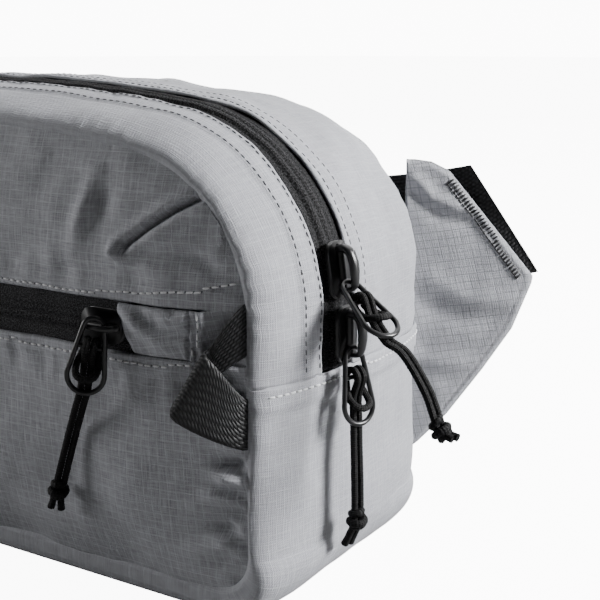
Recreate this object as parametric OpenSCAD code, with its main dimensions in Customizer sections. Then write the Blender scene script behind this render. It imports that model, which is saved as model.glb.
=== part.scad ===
// Hip pack with a zipped main compartment, a zipped front pocket and a waist belt.
// Frame: origin on the floor under the middle of the body, +X to the wearer's left end,
// the front faces -Y, the back and the belt face +Y, +Z is up. Units are millimetres.

/* [Body] */
// Width of the body over the bulging end gussets
body_w = 289; // [260:1:320]
// Height of the front seam from its bottom to the top of its corners
seam_h = 150; // [140:1:165]
// Depth of the gusset between the front seam and the back seam
body_d = 107; // [96:1:116]
// How far the gusset bulges out of the seams
bulge = 12.5; // [9:0.5:14]
// Height of the bottom seam above the floor
foot = 10; // [8:0.5:11]
// Radius of the two upper corners of the front seam
corner_r = 55; // [50:1:60]
// Radius of the two lower corners of the front seam
bottom_r = 15; // [12:1:18]
// Rise of the top seam in the middle
top_rise = 5; // [3:0.5:8]
// How far the stuffed front stands out of its seam
front_puff = 9; // [6:0.5:11]
// How far the back stands out of its seam
back_puff = 3; // [2:0.5:4]
// Thickness of a sewn wall of fabric
wall = 1.2; // [1:0.1:1.5]

/* [Zips] */
// Visible width of the main zip
zip_w = 17; // [14:0.5:19]
// Distance of the main zip's centre behind the front seam
zip_back = 34; // [30:1:38]
// Height of the seam across the end gusset, where the main zip stops
end_seam_z = 84; // [80:1:86]
// Height of the pocket zip's centre
pocket_z = 100.5; // [97:0.5:102]
// Half of the pocket zip's visible length
pocket_half = 88; // [84:1:90]
// Width of the raised chain on both zips
chain_w = 7; // [6:0.5:8]

/* [Belt] */
// Width of the belt webbing
belt_w = 48; // [44:1:50]
// Thickness of the belt webbing
belt_t = 1.6; // [1.4:0.1:1.8]
// Distance of the belt behind the back seam
belt_back = 20; // [19:0.5:22]
// Height of the belt's middle
belt_z = 110; // [108:1:114]
// Angle by which the wings sweep back
wing_sweep = 35; // [32:1:38]
// Thickness of a wing
wing_t = 3; // [2.5:0.1:3.2]

/* [Zip pulls] */
// Diameter of the wire of a pull ring
wire_d = 1.8; // [1.6:0.1:1.9]
// Diameter of the pull cord
cord_d = 2.3; // [2:0.1:2.3]
// Diameter of the knot at the end of a pull cord
knot_d = 8; // [7:0.2:8.6]
// Angle of the upper main slider round the corner
upper_angle = 8; // [8:0.5:14]
// Height of the lower main slider's pull axis
lower_z = 93; // [92:0.5:94]
// Place of the pocket slider along its zip
pocket_x = 80; // [60:1:80]

/* [Hidden] */
$fn = 48;

fabric = [0.70, 0.71, 0.74];
shade = [0.62, 0.63, 0.66];
black = [0.06, 0.06, 0.065];
gloss = [0.03, 0.03, 0.035];
lining = [0.45, 0.46, 0.48];

gap = 0.3;                         // clearance between neighbouring solids
half_x = body_w / 2 - bulge;       // the seam's half width
half_y = body_d / 2;
seam_top = foot + seam_h;
corner_x = half_x - corner_r;      // centre of the upper corner arcs
corner_z = seam_top - corner_r;
arch = (corner_x * corner_x + top_rise * top_rise) / (2 * top_rise);
arch_r = arch + corner_r;          // radius of the gently arched top
arch_a = asin(corner_x / arch);    // half angle of the arched top
arch_z = seam_top + top_rise - arch_r;
zip_y = -half_y + zip_back;
pocket_lo = pocket_z - zip_w / 2;
pocket_hi = pocket_z + zip_w / 2;
recess = 0.8;                      // zip tape below the fabric
chain_h = 1;                       // raised chain above the tape

// ---- outline of the seam, as points [x, z, normal x, normal z] ----
function arc_run(cx, cz, r, a0, a1, n) =
    [for (i = [0:n]) let (a = a0 + (a1 - a0) * i / n) [cx + r * cos(a), cz + r * sin(a), cos(a), sin(a)]];
function half_top(z0) = concat(
    [[half_x, z0, 1, 0]],
    arc_run(corner_x, corner_z, corner_r, 0, 90 - arch_a, 8),
    [for (i = [1:3]) let (a = 90 - arch_a + arch_a * i / 3)
        [arch_r * cos(a), arch_z + arch_r * sin(a), cos(a), sin(a)]]);
function half_bottom(z0) = concat(
    [[half_x, z0, 1, 0]],
    arc_run(half_x - bottom_r, foot + bottom_r, bottom_r, 0, -90, 6),
    [[half_x / 2, foot, 0, -1], [0, foot, 0, -1]]);
function mirrored(run) = [for (i = [len(run) - 2:-1:0]) [-run[i][0], run[i][1], -run[i][2], run[i][3]]];
function whole(run) = concat(run, mirrored(run));
function reversed(run) = [for (i = [len(run) - 1:-1:0]) run[i]];

// ---- swell of the gusset out of the seam, flattened where the pack stands ----
function swell(y, nz) = let (
    down = max(0, -nz),
    e = 2 + 4 * down,
    most = bulge + (foot - bulge) * down,
    u = min(1, abs(y / half_y)))
    min(most, most * (1 + 0.03 * down) * pow(1 - pow(u, e), 1 / e));

// ---- puff of a panel out of its seam ----
function rise_in(t) = 1 - pow(1 - min(1, max(0, t)), 2);
function top_gap(x, z) = z <= corner_z ? half_x - abs(x)
    : abs(x) > corner_x ? corner_r - norm([abs(x) - corner_x, z - corner_z])
    : arch_r - norm([x, z - arch_z]);
puff_in = 45;                      // distance over which a panel rises to its full puff
function puff(x, z) = rise_in(top_gap(x, z) / puff_in) * rise_in((z - foot) / puff_in);
function outline_top(x, inset) = abs(x) > corner_x
    ? corner_z + sqrt(max(0, pow(corner_r - inset, 2) - pow(abs(x) - corner_x, 2)))
    : arch_z + sqrt(pow(arch_r - inset, 2) - x * x);
function outline_bottom(x, inset) = let (from_corner = abs(x) - (half_x - bottom_r))
    from_corner <= 0 ? foot + inset
    : foot + bottom_r - sqrt(max(0, pow(bottom_r - inset, 2) - from_corner * from_corner));

// ---- solids from rings of points ----
module skin(rings, closed = false) {
    n = len(rings[0]);
    m = len(rings);
    last = closed ? m - 1 : m - 2;
    points = [for (r = rings) each r];
    sides = [for (i = [0:last], j = [0:n - 1], half = [0, 1])
        let (a = i * n, b = ((i + 1) % m) * n, k = (j + 1) % n)
        half == 0 ? [a + j, a + k, b + k] : [a + j, b + k, b + j]];
    caps = closed ? [] : [[for (j = [n - 1:-1:0]) j], [for (j = [0:n - 1]) (m - 1) * n + j]];
    polyhedron(points = points, faces = concat(sides, caps), convexity = 8);
}

// A band of the gusset from y0 to y1, its face sunk below the swell and its back at depth
module band(run, y0, y1, steps, sunk = 0, depth = wall) {
    ys = [for (j = [0:steps]) y0 + (y1 - y0) * j / steps];
    skin([for (p = run) concat(
        [for (y = ys) let (b = swell(y, p[3]) - sunk) [p[0] + p[2] * b, y, p[1] + p[3] * b]],
        [for (j = [steps:-1:0]) let (b = swell(ys[j], p[3]) - depth)
            [p[0] + p[2] * b, ys[j], p[1] + p[3] * b]])]);
}

// A puffed panel between two heights; side is -1 on the front and 1 on the back
module panel(xs, low, high, rows, side, amount, out = 0, thick = wall) {
    face = function (x, z) side * (half_y + amount * puff(x, z) + out);
    columns = [for (x = xs) let (z0 = low(x), z1 = high(x)) concat(
        [for (j = [0:rows]) let (z = z0 + (z1 - z0) * j / rows) [x, face(x, z), z]],
        [for (j = [rows:-1:0]) let (z = z0 + (z1 - z0) * j / rows) [x, face(x, z) - side * thick, z]])];
    skin(side < 0 ? columns : reversed(columns));
}
function spread(limit, n) = [for (i = [0:n]) limit * sin(90 * (2 * i / n - 1))];

edge_in = wall + 0.4;              // a panel's edge stays inside the gusset's wall

function over(z0) = reversed(whole(half_top(z0)));
module gusset_front_strip() color(fabric)
    band(over(end_seam_z + gap), -half_y, zip_y - zip_w / 2 - gap, 4);
module gusset_back_strip() color(fabric)
    band(over(end_seam_z + gap), zip_y + zip_w / 2 + gap, half_y, 6);
module gusset_lower() color(shade)
    band(whole(half_bottom(end_seam_z)), -half_y, half_y, 12);
module main_zip_tape() color(black)
    band(over(end_seam_z + gap), zip_y - zip_w / 2, zip_y + zip_w / 2, 3, recess, recess + 1);
module main_zip_chain() color(black)
    band(over(end_seam_z + 1), zip_y - chain_w / 2, zip_y + chain_w / 2, 2, recess - chain_h, recess);

module front_panel_upper() color(fabric)
    panel(spread(half_x - edge_in - 0.6, 20), function (x) pocket_hi + gap,
        function (x) outline_top(x, edge_in), 6, -1, front_puff);
module front_panel_lower() color(fabric)
    panel(spread(half_x - edge_in, 20), function (x) outline_bottom(x, edge_in),
        function (x) pocket_lo - gap, 7, -1, front_puff);

pocket_face = half_y + front_puff;   // the pocket zip's stretch of the front is flat
module pocket_zip_tape() color(black)
    translate([-pocket_half + gap, -pocket_face + recess, pocket_lo])
        cube([2 * (pocket_half - gap), 1, zip_w]);
module pocket_zip_chain() color(black)
    translate([-pocket_half + 1, -pocket_face + recess - chain_h, pocket_z - chain_w / 2])
        cube([2 * (pocket_half - 1), chain_h, chain_w]);
module zip_garage_right() color(fabric)
    panel([for (i = [0:5]) pocket_half + (half_x - edge_in - 0.8 - pocket_half) * i / 5],
        function (x) pocket_lo, function (x) pocket_hi, 2, -1, front_puff);
module zip_garage_left() color(fabric) mirror([1, 0, 0]) zip_garage_right();

// ---- flat outline of the seam, drawn in by inset ----
module outline(inset) {
    run = whole(half_top(foot + seam_h / 2));
    low = whole(half_bottom(foot + seam_h / 2));
    drawn_in = function (p) [p[0] - p[2] * inset, p[1] - p[3] * inset];
    polygon(concat([for (p = run) drawn_in(p)], [for (p = reversed(low)) drawn_in(p)]));
}
module upright(y, thick) translate([0, y + thick, 0]) rotate([90, 0, 0]) linear_extrude(thick) children();

liner_y = -half_y + 3.5;
binding = 8;                       // depth of the binding inside each seam
module pocket_liner() color(lining) upright(liner_y, 0.8) outline(edge_in);
module seam_binding(y) color(black) upright(y, 1.4) difference() {
    outline(edge_in);
    outline(edge_in + binding);
}
module seam_binding_front() seam_binding(liner_y - 1.8);
module seam_binding_back() seam_binding(half_y - wall - 2);

pad_t = 5;                         // thickness of the padding on the back
pad_in = 12;                       // the padding's edge inside the seam
module back_panel() color(shade)
    panel(spread(half_x - edge_in, 20), function (x) outline_bottom(x, edge_in),
        function (x) outline_top(x, edge_in), 10, 1, back_puff);
module back_pad() color(black)
    upright(half_y + back_puff + 0.2, pad_t) outline(pad_in);

// ---- webbing loops sewn into the end seams, each folded to a point ----
loop_tilt = 24;                    // angle by which a loop stands off the front
loop_t = 1.5;                      // thickness of its webbing
module webbing_loop_right() color(black)
    translate([half_x - 0.5, -half_y - 1.4, 0]) rotate([90, 0, loop_tilt]) linear_extrude(loop_t)
        polygon([[0, 113], [0, 96], [-11, 89], [0, 80], [0, 63], [-22, 73], [-24.5, 78], [-20, 88],
            [-8, 104]]);
module webbing_loop_left() mirror([1, 0, 0]) webbing_loop_right();

// ---- belt wings, outlined in the wing's own plane ----
wing_x = half_x - 0.5;
wing_y = half_y + 2.1;
module wing_right() color(fabric)
    translate([wing_x, wing_y, 0]) rotate([90, 0, wing_sweep]) translate([0, 0, -wing_t / 2])
        linear_extrude(wing_t)
            polygon([[0, 147], [8, 146], [15, 142.5], [49, 101], [48.5, 98], [41.5, 80], [30, 63],
                [16.5, 45], [5, 33.5], [0, 30]]);
module wing_left() mirror([1, 0, 0]) wing_right();

// ---- belt: it folds behind each wing's end and crosses behind the back ----
belt_y = half_y + belt_back;       // centre of the belt's near layer
belt_flat = 60;                    // the belt lies level within this distance of the middle
fold_top = [148.3, 144];           // upper and lower end of the fold, as [x, z]
fold_low = [172.3, 102];
function wing_line(x) = wing_y + (x - wing_x) * tan(wing_sweep)
    + (wing_t / 2 + belt_t / 2 + 0.4) / cos(wing_sweep);
function belt_plan(x) = max(belt_y, wing_line(x));
function belt_mid(x) = belt_z + 0.00134 * pow(max(0, x - belt_flat), 2);
// One ring of the belt where it crosses the back: the two edges at their own x
function belt_ring(x_top, z_top, x_low, z_low, y_top, y_low) = let (t = belt_t / 2)
    [[x_low, y_low + t, z_low], [x_low, y_low - t, z_low],
     [x_top, y_top - t, z_top], [x_top, y_top + t, z_top]];
run_low = 62;                      // the crossing starts here and ends at the fold
belt_run = [for (i = [0:10]) let (
    k = i / 10,
    xt = run_low + (fold_top[0] - run_low) * k, xl = run_low + (fold_low[0] - run_low) * k,
    zt = belt_mid(xt) + belt_w / 2 + (fold_top[1] - belt_mid(fold_top[0]) - belt_w / 2) * k,
    zl = belt_mid(xl) - belt_w / 2 + (fold_low[1] - belt_mid(fold_low[0]) + belt_w / 2) * k)
    belt_ring(xt, zt, xl, zl, belt_plan(xt), belt_plan(xl))];
// Rings of the level belt along points [x, y] in plan, standing on edge
function plan_rings(path) = [for (i = [0:len(path) - 1])
    let (a = path[max(0, i - 1)], b = path[min(len(path) - 1, i + 1)], d = b - a,
        n = [-d[1], d[0]] / norm(d) * belt_t / 2, p = path[i])
    [[p[0] + n[0], p[1] + n[1], belt_z - belt_w / 2], [p[0] - n[0], p[1] - n[1], belt_z - belt_w / 2],
     [p[0] - n[0], p[1] - n[1], belt_z + belt_w / 2], [p[0] + n[0], p[1] + n[1], belt_z + belt_w / 2]]];
turn_r = 2.1;                      // radius of the webbing's centre line round a bar
bar_y = belt_y + turn_r;
far_y = belt_y + 2 * turn_r;
function turn(x, y0, y1, side) = [for (i = [0:6]) let (a = -90 + 180 * i / 6, r = (y1 - y0) / 2)
    [x + side * r * cos(a), (y0 + y1) / 2 + r * sin(a)]];
socket_bar = 33;                   // distance of the two webbing bars from the middle
plug_bar = 24;
module belt_right() color(black) {
    path = concat(reversed(turn(socket_bar, belt_y, far_y, -1)), [[run_low - 4, belt_y], [run_low, belt_y]]);
    skin(concat(plan_rings(concat([[socket_bar + 24, far_y]], path)), [for (i = [1:10]) belt_run[i]]));
}
module belt_left() color(black) mirror([1, 0, 0]) {
    path = concat(reversed(turn(plug_bar, belt_y, far_y, -1)), [[run_low - 4, belt_y], [run_low, belt_y]]);
    skin(concat(plan_rings(concat([[plug_bar + 16, far_y]], path)), [for (i = [1:10]) belt_run[i]]));
}

tail_fold = 2.3;                   // pitch of the folded tail's layers
tail_far = 120;                    // the tail is folded between these distances from the middle
tail_near = 50;
module belt_tail() color(black) mirror([1, 0, 0]) {
    y = [for (k = [0:4]) far_y + tail_fold * k];
    skin(plan_rings(concat(
        [[plug_bar + 16.5, y[0]], [tail_near, y[0]], [tail_far - 4, y[0]]],
        turn(tail_far - 4, y[0], y[1], 1), turn(tail_near + 4, y[1], y[2], -1),
        turn(tail_far - 4, y[2], y[3], 1),
        [[tail_near + 2, y[3]]])));
}
keeper_x = 70;
keeper_l = 12;
module belt_keeper() color(black) {
    high = belt_w + 6;
    y0 = belt_y - 1.4;
    y1 = far_y + 3 * tail_fold + 1.6;
    translate([-keeper_x - keeper_l / 2, y0 - 1, belt_z - high / 2]) difference() {
        cube([keeper_l, y1 - y0 + 2, high]);
        translate([-1, 1, 1]) cube([keeper_l + 2, y1 - y0, high - 2]);
    }
}

// ---- side-release buckle; the plug's arms reach into the socket ----
bar_r = 1.2;
cheek_in = belt_w / 2 + 0.6;
cheek_out = belt_w / 2 + 5;
buckle_t = 11;
mouth_x = -17;                     // open end of the socket
module rounded(w, h, r) {
    square([w - 2 * r, h], center = true);
    square([w, h - 2 * r], center = true);
    for (i = [-1, 1], j = [-1, 1]) translate([i * (w / 2 - r), j * (h / 2 - r)]) circle(r);
}
module at_buckle() translate([0, bar_y, belt_z]) children();
module bar(x) translate([x, 0, 0]) cylinder(r = bar_r, h = 2 * cheek_in + 2, center = true);
module cheeks(x0, x1, t) for (s = [-1, 1])
    translate([x0, -t / 2, s > 0 ? cheek_in : -cheek_out]) cube([x1 - x0, t, cheek_out - cheek_in]);
module buckle_socket() color(black) at_buckle() {
    block_end = socket_bar - 3.5;
    difference() {
        translate([(mouth_x + block_end) / 2, buckle_t / 2, 0]) rotate([90, 0, 0])
            linear_extrude(buckle_t) rounded(block_end - mouth_x, 2 * cheek_out, 4);
        translate([mouth_x - 1, -3.2, -22]) cube([32, 6.4, 44]);
        for (s = [-1, 1]) translate([-2, -3.2, s > 0 ? 21 : -31]) cube([12, 6.4, 10]);
    }
    cheeks(block_end - 5, socket_bar + 3, 7);
    bar(socket_bar);
}
module buckle_plug() color(black) at_buckle() {
    frame_end = mouth_x - 0.4;
    translate([frame_end - 3, -buckle_t / 2, -cheek_out]) cube([3, buckle_t, 2 * cheek_out]);
    cheeks(-plug_bar - 10, frame_end - 2.9, 7);
    bar(-plug_bar);
    bar(-plug_bar - 8);
    translate([frame_end - 0.1, -1.6, -3]) cube([26, 3.2, 6]);
    for (s = [0, 1]) mirror([0, 0, s]) translate([0, 2.6, 0]) rotate([90, 0, 0]) linear_extrude(5.2)
        polygon([[frame_end - 0.1, 11], [-4, 13], [10, 14.5], [13, 16], [9, 19], [-1, 21.4], [-3, 17.5],
            [frame_end - 0.1, 16]]);
}

// ---- zip sliders: local X points away from the zip, Z along it, and a ring turns at Z = 0 ----
float_h = 0.5;                     // gap under a slider's plate
plate_t = 1.5;
main_tunnel = 4;                   // height of the tunnel that a ring passes through
pocket_tunnel = 3.2;
main_bail = 1.6;                   // thickness of the bail over the tunnel
pocket_bail = 1.1;
lower_out = 2;                     // the lower slider stands this much further off its zip
// The tunnel runs from tlo to thi, and the bail from lo to hi
module slider(bail_w, bail_t, tunnel_h, lo, hi, tlo, thi) {
    base = float_h + plate_t;
    translate([float_h, 0, (lo + hi) / 2]) rotate([90, 0, 90]) linear_extrude(plate_t)
        rounded(10.5, hi - lo + 2, 3);
    rotate([90, 0, 0]) linear_extrude(bail_w, center = true) difference() {
        union() {
            translate([base - 0.2 + (tunnel_h + bail_t) / 2, (lo + hi) / 2])
                rounded(tunnel_h + bail_t + 0.4, hi - lo, 2.2);
            translate([base - 0.2, lo + 1]) square([1.4, hi - lo - 2]);
        }
        translate([base + tunnel_h / 2, (tlo + thi) / 2]) rounded(tunnel_h, thi - tlo, 0.6);
    }
}
chain_out = swell(zip_y, 0) + chain_h - recess;    // face of the main chain beyond the seam
module main_slider() slider(2.2, main_bail, main_tunnel, -3.6, 12, -2, 9.8);
module main_slider_upper() color(gloss) translate([corner_x, zip_y, corner_z]) rotate([0, -upper_angle, 0])
    translate([corner_r + chain_out, 0, 0]) main_slider();
module main_slider_lower() color(gloss)
    translate([half_x + chain_out + lower_out, zip_y, lower_z]) main_slider();
pocket_chain = -pocket_face + recess - chain_h;    // face of the pocket's chain
module pocket_slider() color(gloss) translate([pocket_x, pocket_chain, pocket_z])
    rotate([-90, 0, 0]) rotate([0, 90, 0])
        slider(1.3, pocket_bail, pocket_tunnel, -7, 7, -4.8, 4.8);

// ---- pulls: a ring with a cross bar hangs down local -Z from the point where it turns ----
ring_in = 2.7;                     // inner radius of the ring's narrow top
ring_low = 5.3;                    // inner radius of its round bottom
ring_len = 27;                     // from the turning point to its lowest edge
bar_u = 10;                        // distance of the cross bar from the turning point
top_u = ring_in + wire_d / 2;
low_u = ring_len - ring_low - wire_d;
// The wire's centre line, [across, up, normal across, normal up] round the teardrop
tear_a = asin((ring_low - ring_in) / (low_u - top_u));
function tear_arc(r, u, a0, a1, n) =
    [for (i = [0:n]) let (a = a0 + (a1 - a0) * i / n) [r * cos(a), r * sin(a) - u, cos(a), sin(a)]];
tear = concat(tear_arc(ring_in + wire_d / 2, top_u, tear_a, 180 - tear_a, 9),
    tear_arc(ring_low + wire_d / 2, low_u, 180 - tear_a, 360 + tear_a, 15));
module ring() color(gloss) {
    skin([for (p = tear) [for (j = [0:7]) let (c = cos(45 * j), s = sin(45 * j))
        wire_d / 2 * [s, c * p[2], c * p[3]] + [0, p[0], p[1]]]], closed = true);
    translate([0, 0, -bar_u]) rotate([90, 0, 0]) cylinder(d = 1.6, h = 9, center = true, $fn = 24);
}
// Where each pull turns, its yaw about the vertical, its lift off the pack and its lean
pull_h = float_h + plate_t + main_tunnel / 2 - 0.2;
upper_r = corner_r + chain_out + pull_h;
pull_upper = [[corner_x + upper_r * cos(upper_angle), zip_y, corner_z + upper_r * sin(upper_angle)],
    -20, 58, 0];
pull_lower = [[half_x + chain_out + lower_out + pull_h, zip_y, lower_z], -20, 10, 0];
pull_pocket = [[pocket_x + 0.6, pocket_chain - float_h - plate_t - pocket_tunnel - 0.1, pocket_z + 3.3],
    -58, 0, 12];
module place(pull) translate(pull[0]) rotate([0, 0, pull[1]]) rotate([0, -pull[2], 0])
    rotate([-pull[3], 0, 0]) children();
module ring_upper() place(pull_upper) ring();
module ring_lower() place(pull_lower) ring();
module ring_pocket() place(pull_pocket) ring();

// ---- pull cords: the hitch on the cross bar, as points [across, out, down] of one half ----
hitch = [[0, 3.2, 20.5], [2.9, 2.2, 19.5], [3.6, -0.4, 16.5], [2.3, -2.4, 11], [1.7, -1.7, 8.3],
    [1.4, 0, 7.5], [1.3, 1.7, 8.3], [1.2, 2.4, 10.8], [1.2, -1, 17], [1.2, -2.3, 26]];
// The two legs below it, as [middle across, half their spacing, out, down]; the third point is in the knot
legs_upper = [[3.6, 1.2, -3.4, 32], [7, 1.2, -9.5, 44], [8.7, 1.3, -16.9, 54.3], [9.6, 1.6, -16.4, 57.5],
    [10.6, 1.8, -15.2, 60.5]];
legs_lower = [[0, 1.2, -3.4, 34], [0, 1.3, -5.2, 48], [-0.3, 1.3, -7, 60], [-1, 1.5, -9.5, 65],
    [-1.9, 1.8, -12.6, 69.5]];
legs_pocket = [[-0.8, 1.2, -4.8, 33], [-2.2, 1.2, -9.6, 46], [-3.8, 1.3, -13.6, 67.5],
    [-3.8, 1.8, -14.2, 72], [-3.7, 2.6, -14.7, 76]];
function leg(legs, side) = [for (p = legs) [p[0] + side * p[1], p[2], p[3]]];
function route(legs) = concat(
    reversed(concat([for (i = [1:len(hitch) - 1]) [-hitch[i][0], hitch[i][1], hitch[i][2]]], leg(legs, -1))),
    hitch, leg(legs, 1));
// Rings of a tube along a route; each ring's axes are carried on from the one before
function unit(a) = a / norm(a);
function heading(p, i) = unit(p[min(i + 1, len(p) - 1)] - p[max(i - 1, 0)]);
function side_on(t, s) = unit(s - (s * t) * t);
function carried(p, i) = i == 0 ? side_on(heading(p, 0), [1, 0.2, 0.1])
    : side_on(heading(p, i), carried(p, i - 1));
module tube(p, d, sides = 8) skin([for (i = [0:len(p) - 1])
    let (t = heading(p, i), s = carried(p, i), c = cross(t, s))
    [for (j = [0:sides - 1]) p[i] + d / 2 * (cos(360 * j / sides) * s - sin(360 * j / sides) * c)]]);
module pull_cord(legs) color(black) tube([for (p = route(legs)) [p[1], p[0], -p[2]]], cord_d);
module cord_upper() place(pull_upper) pull_cord(legs_upper);
module cord_lower() place(pull_lower) pull_cord(legs_lower);
module cord_pocket() place(pull_pocket) pull_cord(legs_pocket);
module knot(legs) color(black)
    translate([legs[2][2], legs[2][0], -legs[2][3]]) sphere(d = knot_d, $fn = 32);
module knot_upper() place(pull_upper) knot(legs_upper);
module knot_lower() place(pull_lower) knot(legs_lower);
module knot_pocket() place(pull_pocket) knot(legs_pocket);

gusset_front_strip();
gusset_back_strip();
gusset_lower();
main_zip_tape();
main_zip_chain();
front_panel_upper();
front_panel_lower();
pocket_zip_tape();
pocket_zip_chain();
zip_garage_right();
zip_garage_left();
pocket_liner();
seam_binding_front();
seam_binding_back();
back_panel();
back_pad();
webbing_loop_right();
webbing_loop_left();
wing_right();
wing_left();
belt_right();
belt_left();
belt_tail();
belt_keeper();
buckle_socket();
buckle_plug();
main_slider_upper();
main_slider_lower();
pocket_slider();
ring_upper();
ring_lower();
ring_pocket();
cord_upper();
cord_lower();
cord_pocket();
knot_upper();
knot_lower();
knot_pocket();
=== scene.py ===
import math

import bpy
import numpy as np
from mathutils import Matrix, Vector
from mathutils.bvhtree import BVHTree


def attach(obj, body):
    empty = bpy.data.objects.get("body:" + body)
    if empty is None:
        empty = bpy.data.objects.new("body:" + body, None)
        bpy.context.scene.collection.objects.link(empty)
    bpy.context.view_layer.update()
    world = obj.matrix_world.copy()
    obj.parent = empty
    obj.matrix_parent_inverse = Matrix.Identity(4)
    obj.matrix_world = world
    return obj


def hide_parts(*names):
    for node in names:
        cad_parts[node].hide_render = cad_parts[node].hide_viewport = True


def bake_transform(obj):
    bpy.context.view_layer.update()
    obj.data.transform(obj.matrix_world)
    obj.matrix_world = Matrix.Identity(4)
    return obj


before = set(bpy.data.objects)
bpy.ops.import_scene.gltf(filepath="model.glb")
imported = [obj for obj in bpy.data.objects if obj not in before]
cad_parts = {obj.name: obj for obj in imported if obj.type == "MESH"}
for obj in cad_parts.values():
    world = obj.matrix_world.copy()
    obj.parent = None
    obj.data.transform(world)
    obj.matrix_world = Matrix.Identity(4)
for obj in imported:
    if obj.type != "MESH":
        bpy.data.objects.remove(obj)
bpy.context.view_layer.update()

# ---- camera ----
cam_data = bpy.data.cameras.new("camera")
cam_data.lens = 72.95
cam_data.clip_start = 0.01
camera = bpy.data.objects.new("camera", cam_data)
camera.location = (0.3426, -0.3588, 0.2001)
camera.rotation_euler = (math.radians(76.84), 0, math.radians(32.2))
bpy.context.scene.collection.objects.link(camera)
bpy.context.scene.camera = camera


# ---- small helpers: lengths here are in millimetres, as in the CAD source ----
def waves(x, y, size, seed, n=8):
    """Smooth uneven ripples of about that wavelength, from -1 to 1 for the most part."""
    r = np.random.default_rng(seed)
    total = 0.0
    for _ in range(n):
        a, k, p = r.uniform(0, 2 * np.pi), 2 * np.pi / (size * r.uniform(0.7, 1.7)), r.uniform(0, 2 * np.pi)
        total = total + np.sin(k * (x * np.cos(a) + y * np.sin(a)) + p)
    return total / n**0.5


def bump(d, width):
    return np.exp(-((d / width) ** 2))


def ease(t):
    t = np.clip(t, 0, 1)
    return t * t * (3 - 2 * t)


def to_line(x, z, line):
    """Distance from points to a line of straight stretches, and how far along it, from 0 to 1."""
    p = np.stack([x, z], -1).astype(float)
    best, along = np.full(x.shape, 1e9), np.zeros(x.shape)
    for i, (a, b) in enumerate(zip(line[:-1], line[1:])):
        a, b = np.array(a, float), np.array(b, float)
        t = np.clip(((p - a) @ (b - a)) / ((b - a) @ (b - a)), 0, 1)
        d = np.linalg.norm(p - a - t[..., None] * (b - a), axis=-1)
        along = np.where(d < best, (i + t) / (len(line) - 1), along)
        best = np.minimum(best, d)
    return best, along


def mesh(name, points, faces, mat, body, uv=None, replaces=(), slot=None, smooth=True):
    me = bpy.data.meshes.new(name)
    me.from_pydata((np.asarray(points, float) * 0.001).tolist(), [], [list(map(int, f)) for f in faces])
    if uv is not None:
        layer = me.uv_layers.new(name="cloth")
        index = np.zeros(len(me.loops), np.int32)
        me.loops.foreach_get("vertex_index", index)
        layer.data.foreach_set("uv", (np.asarray(uv, float)[index] * 0.001).ravel())
    me.polygons.foreach_set("use_smooth", [smooth] * len(me.polygons))
    me.materials.append(mat)
    me.update()
    o = bpy.data.objects.new(name, me)
    bpy.context.scene.collection.objects.link(o)
    if body:
        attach(o, body)
    if replaces:
        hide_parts(*replaces)
    return o


def quads(m, n, wrap=False, flip=False):
    i = np.arange(m * n).reshape(m, n)
    if wrap:
        i = np.concatenate([i, i[:, :1]], 1)
    a, b, c, d = i[:-1, :-1], i[1:, :-1], i[1:, 1:], i[:-1, 1:]
    f = np.stack([a, b, c, d] if not flip else [a, d, c, b], -1)
    return f.reshape(-1, 4)


def cloth(name, P, uv, mat, body, thick=0.9, flip=False, **more):
    """A sheet of fabric through a grid of points, with a real thickness behind its face."""
    m, n = P.shape[:2]
    o = mesh(name, P.reshape(-1, 3), quads(m, n, flip=flip), mat, body, uv.reshape(-1, 2), **more)
    if thick:
        s = o.modifiers.new("thick", "SOLIDIFY")
        s.thickness, s.offset, s.use_even_offset = thick * 0.001, -1, False
    return o


def resample(line, step):
    line = np.asarray(line, float)
    along = np.concatenate([[0], np.cumsum(np.linalg.norm(np.diff(line, axis=0), axis=1))])
    at = np.linspace(0, along[-1], max(2, int(round(along[-1] / step)) + 1))
    return np.stack([np.interp(at, along, line[:, k]) for k in range(line.shape[1])], 1)


def smooth_line(points, n):
    """A smooth curve through points, with n steps between each two."""
    p = np.asarray(points, float)
    p = np.concatenate([[2 * p[0] - p[1]], p, [2 * p[-1] - p[-2]]])
    out = []
    for i in range(1, len(p) - 2):
        for t in np.arange(n) / n:
            a, b, c, d = p[i - 1 : i + 3]
            out.append(0.5 * (2 * b + (c - a) * t + (2 * a - 5 * b + 4 * c - d) * t**2 + (3 * b - a - 3 * c + d) * t**3))
    return np.array(out + [p[-2]])


def frames(line, first=(0.3, 1, 0.2)):
    """Unit tangent and two normals along a line, carried on without twist."""
    t = np.gradient(line, axis=0)
    t /= np.linalg.norm(t, axis=1)[:, None]
    a = np.zeros_like(line)
    s = np.array(first, float)
    for i in range(len(line)):
        s = s - (s @ t[i]) * t[i]
        s = s / np.linalg.norm(s)
        a[i] = s
    return t, a, np.cross(t, a)


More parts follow.
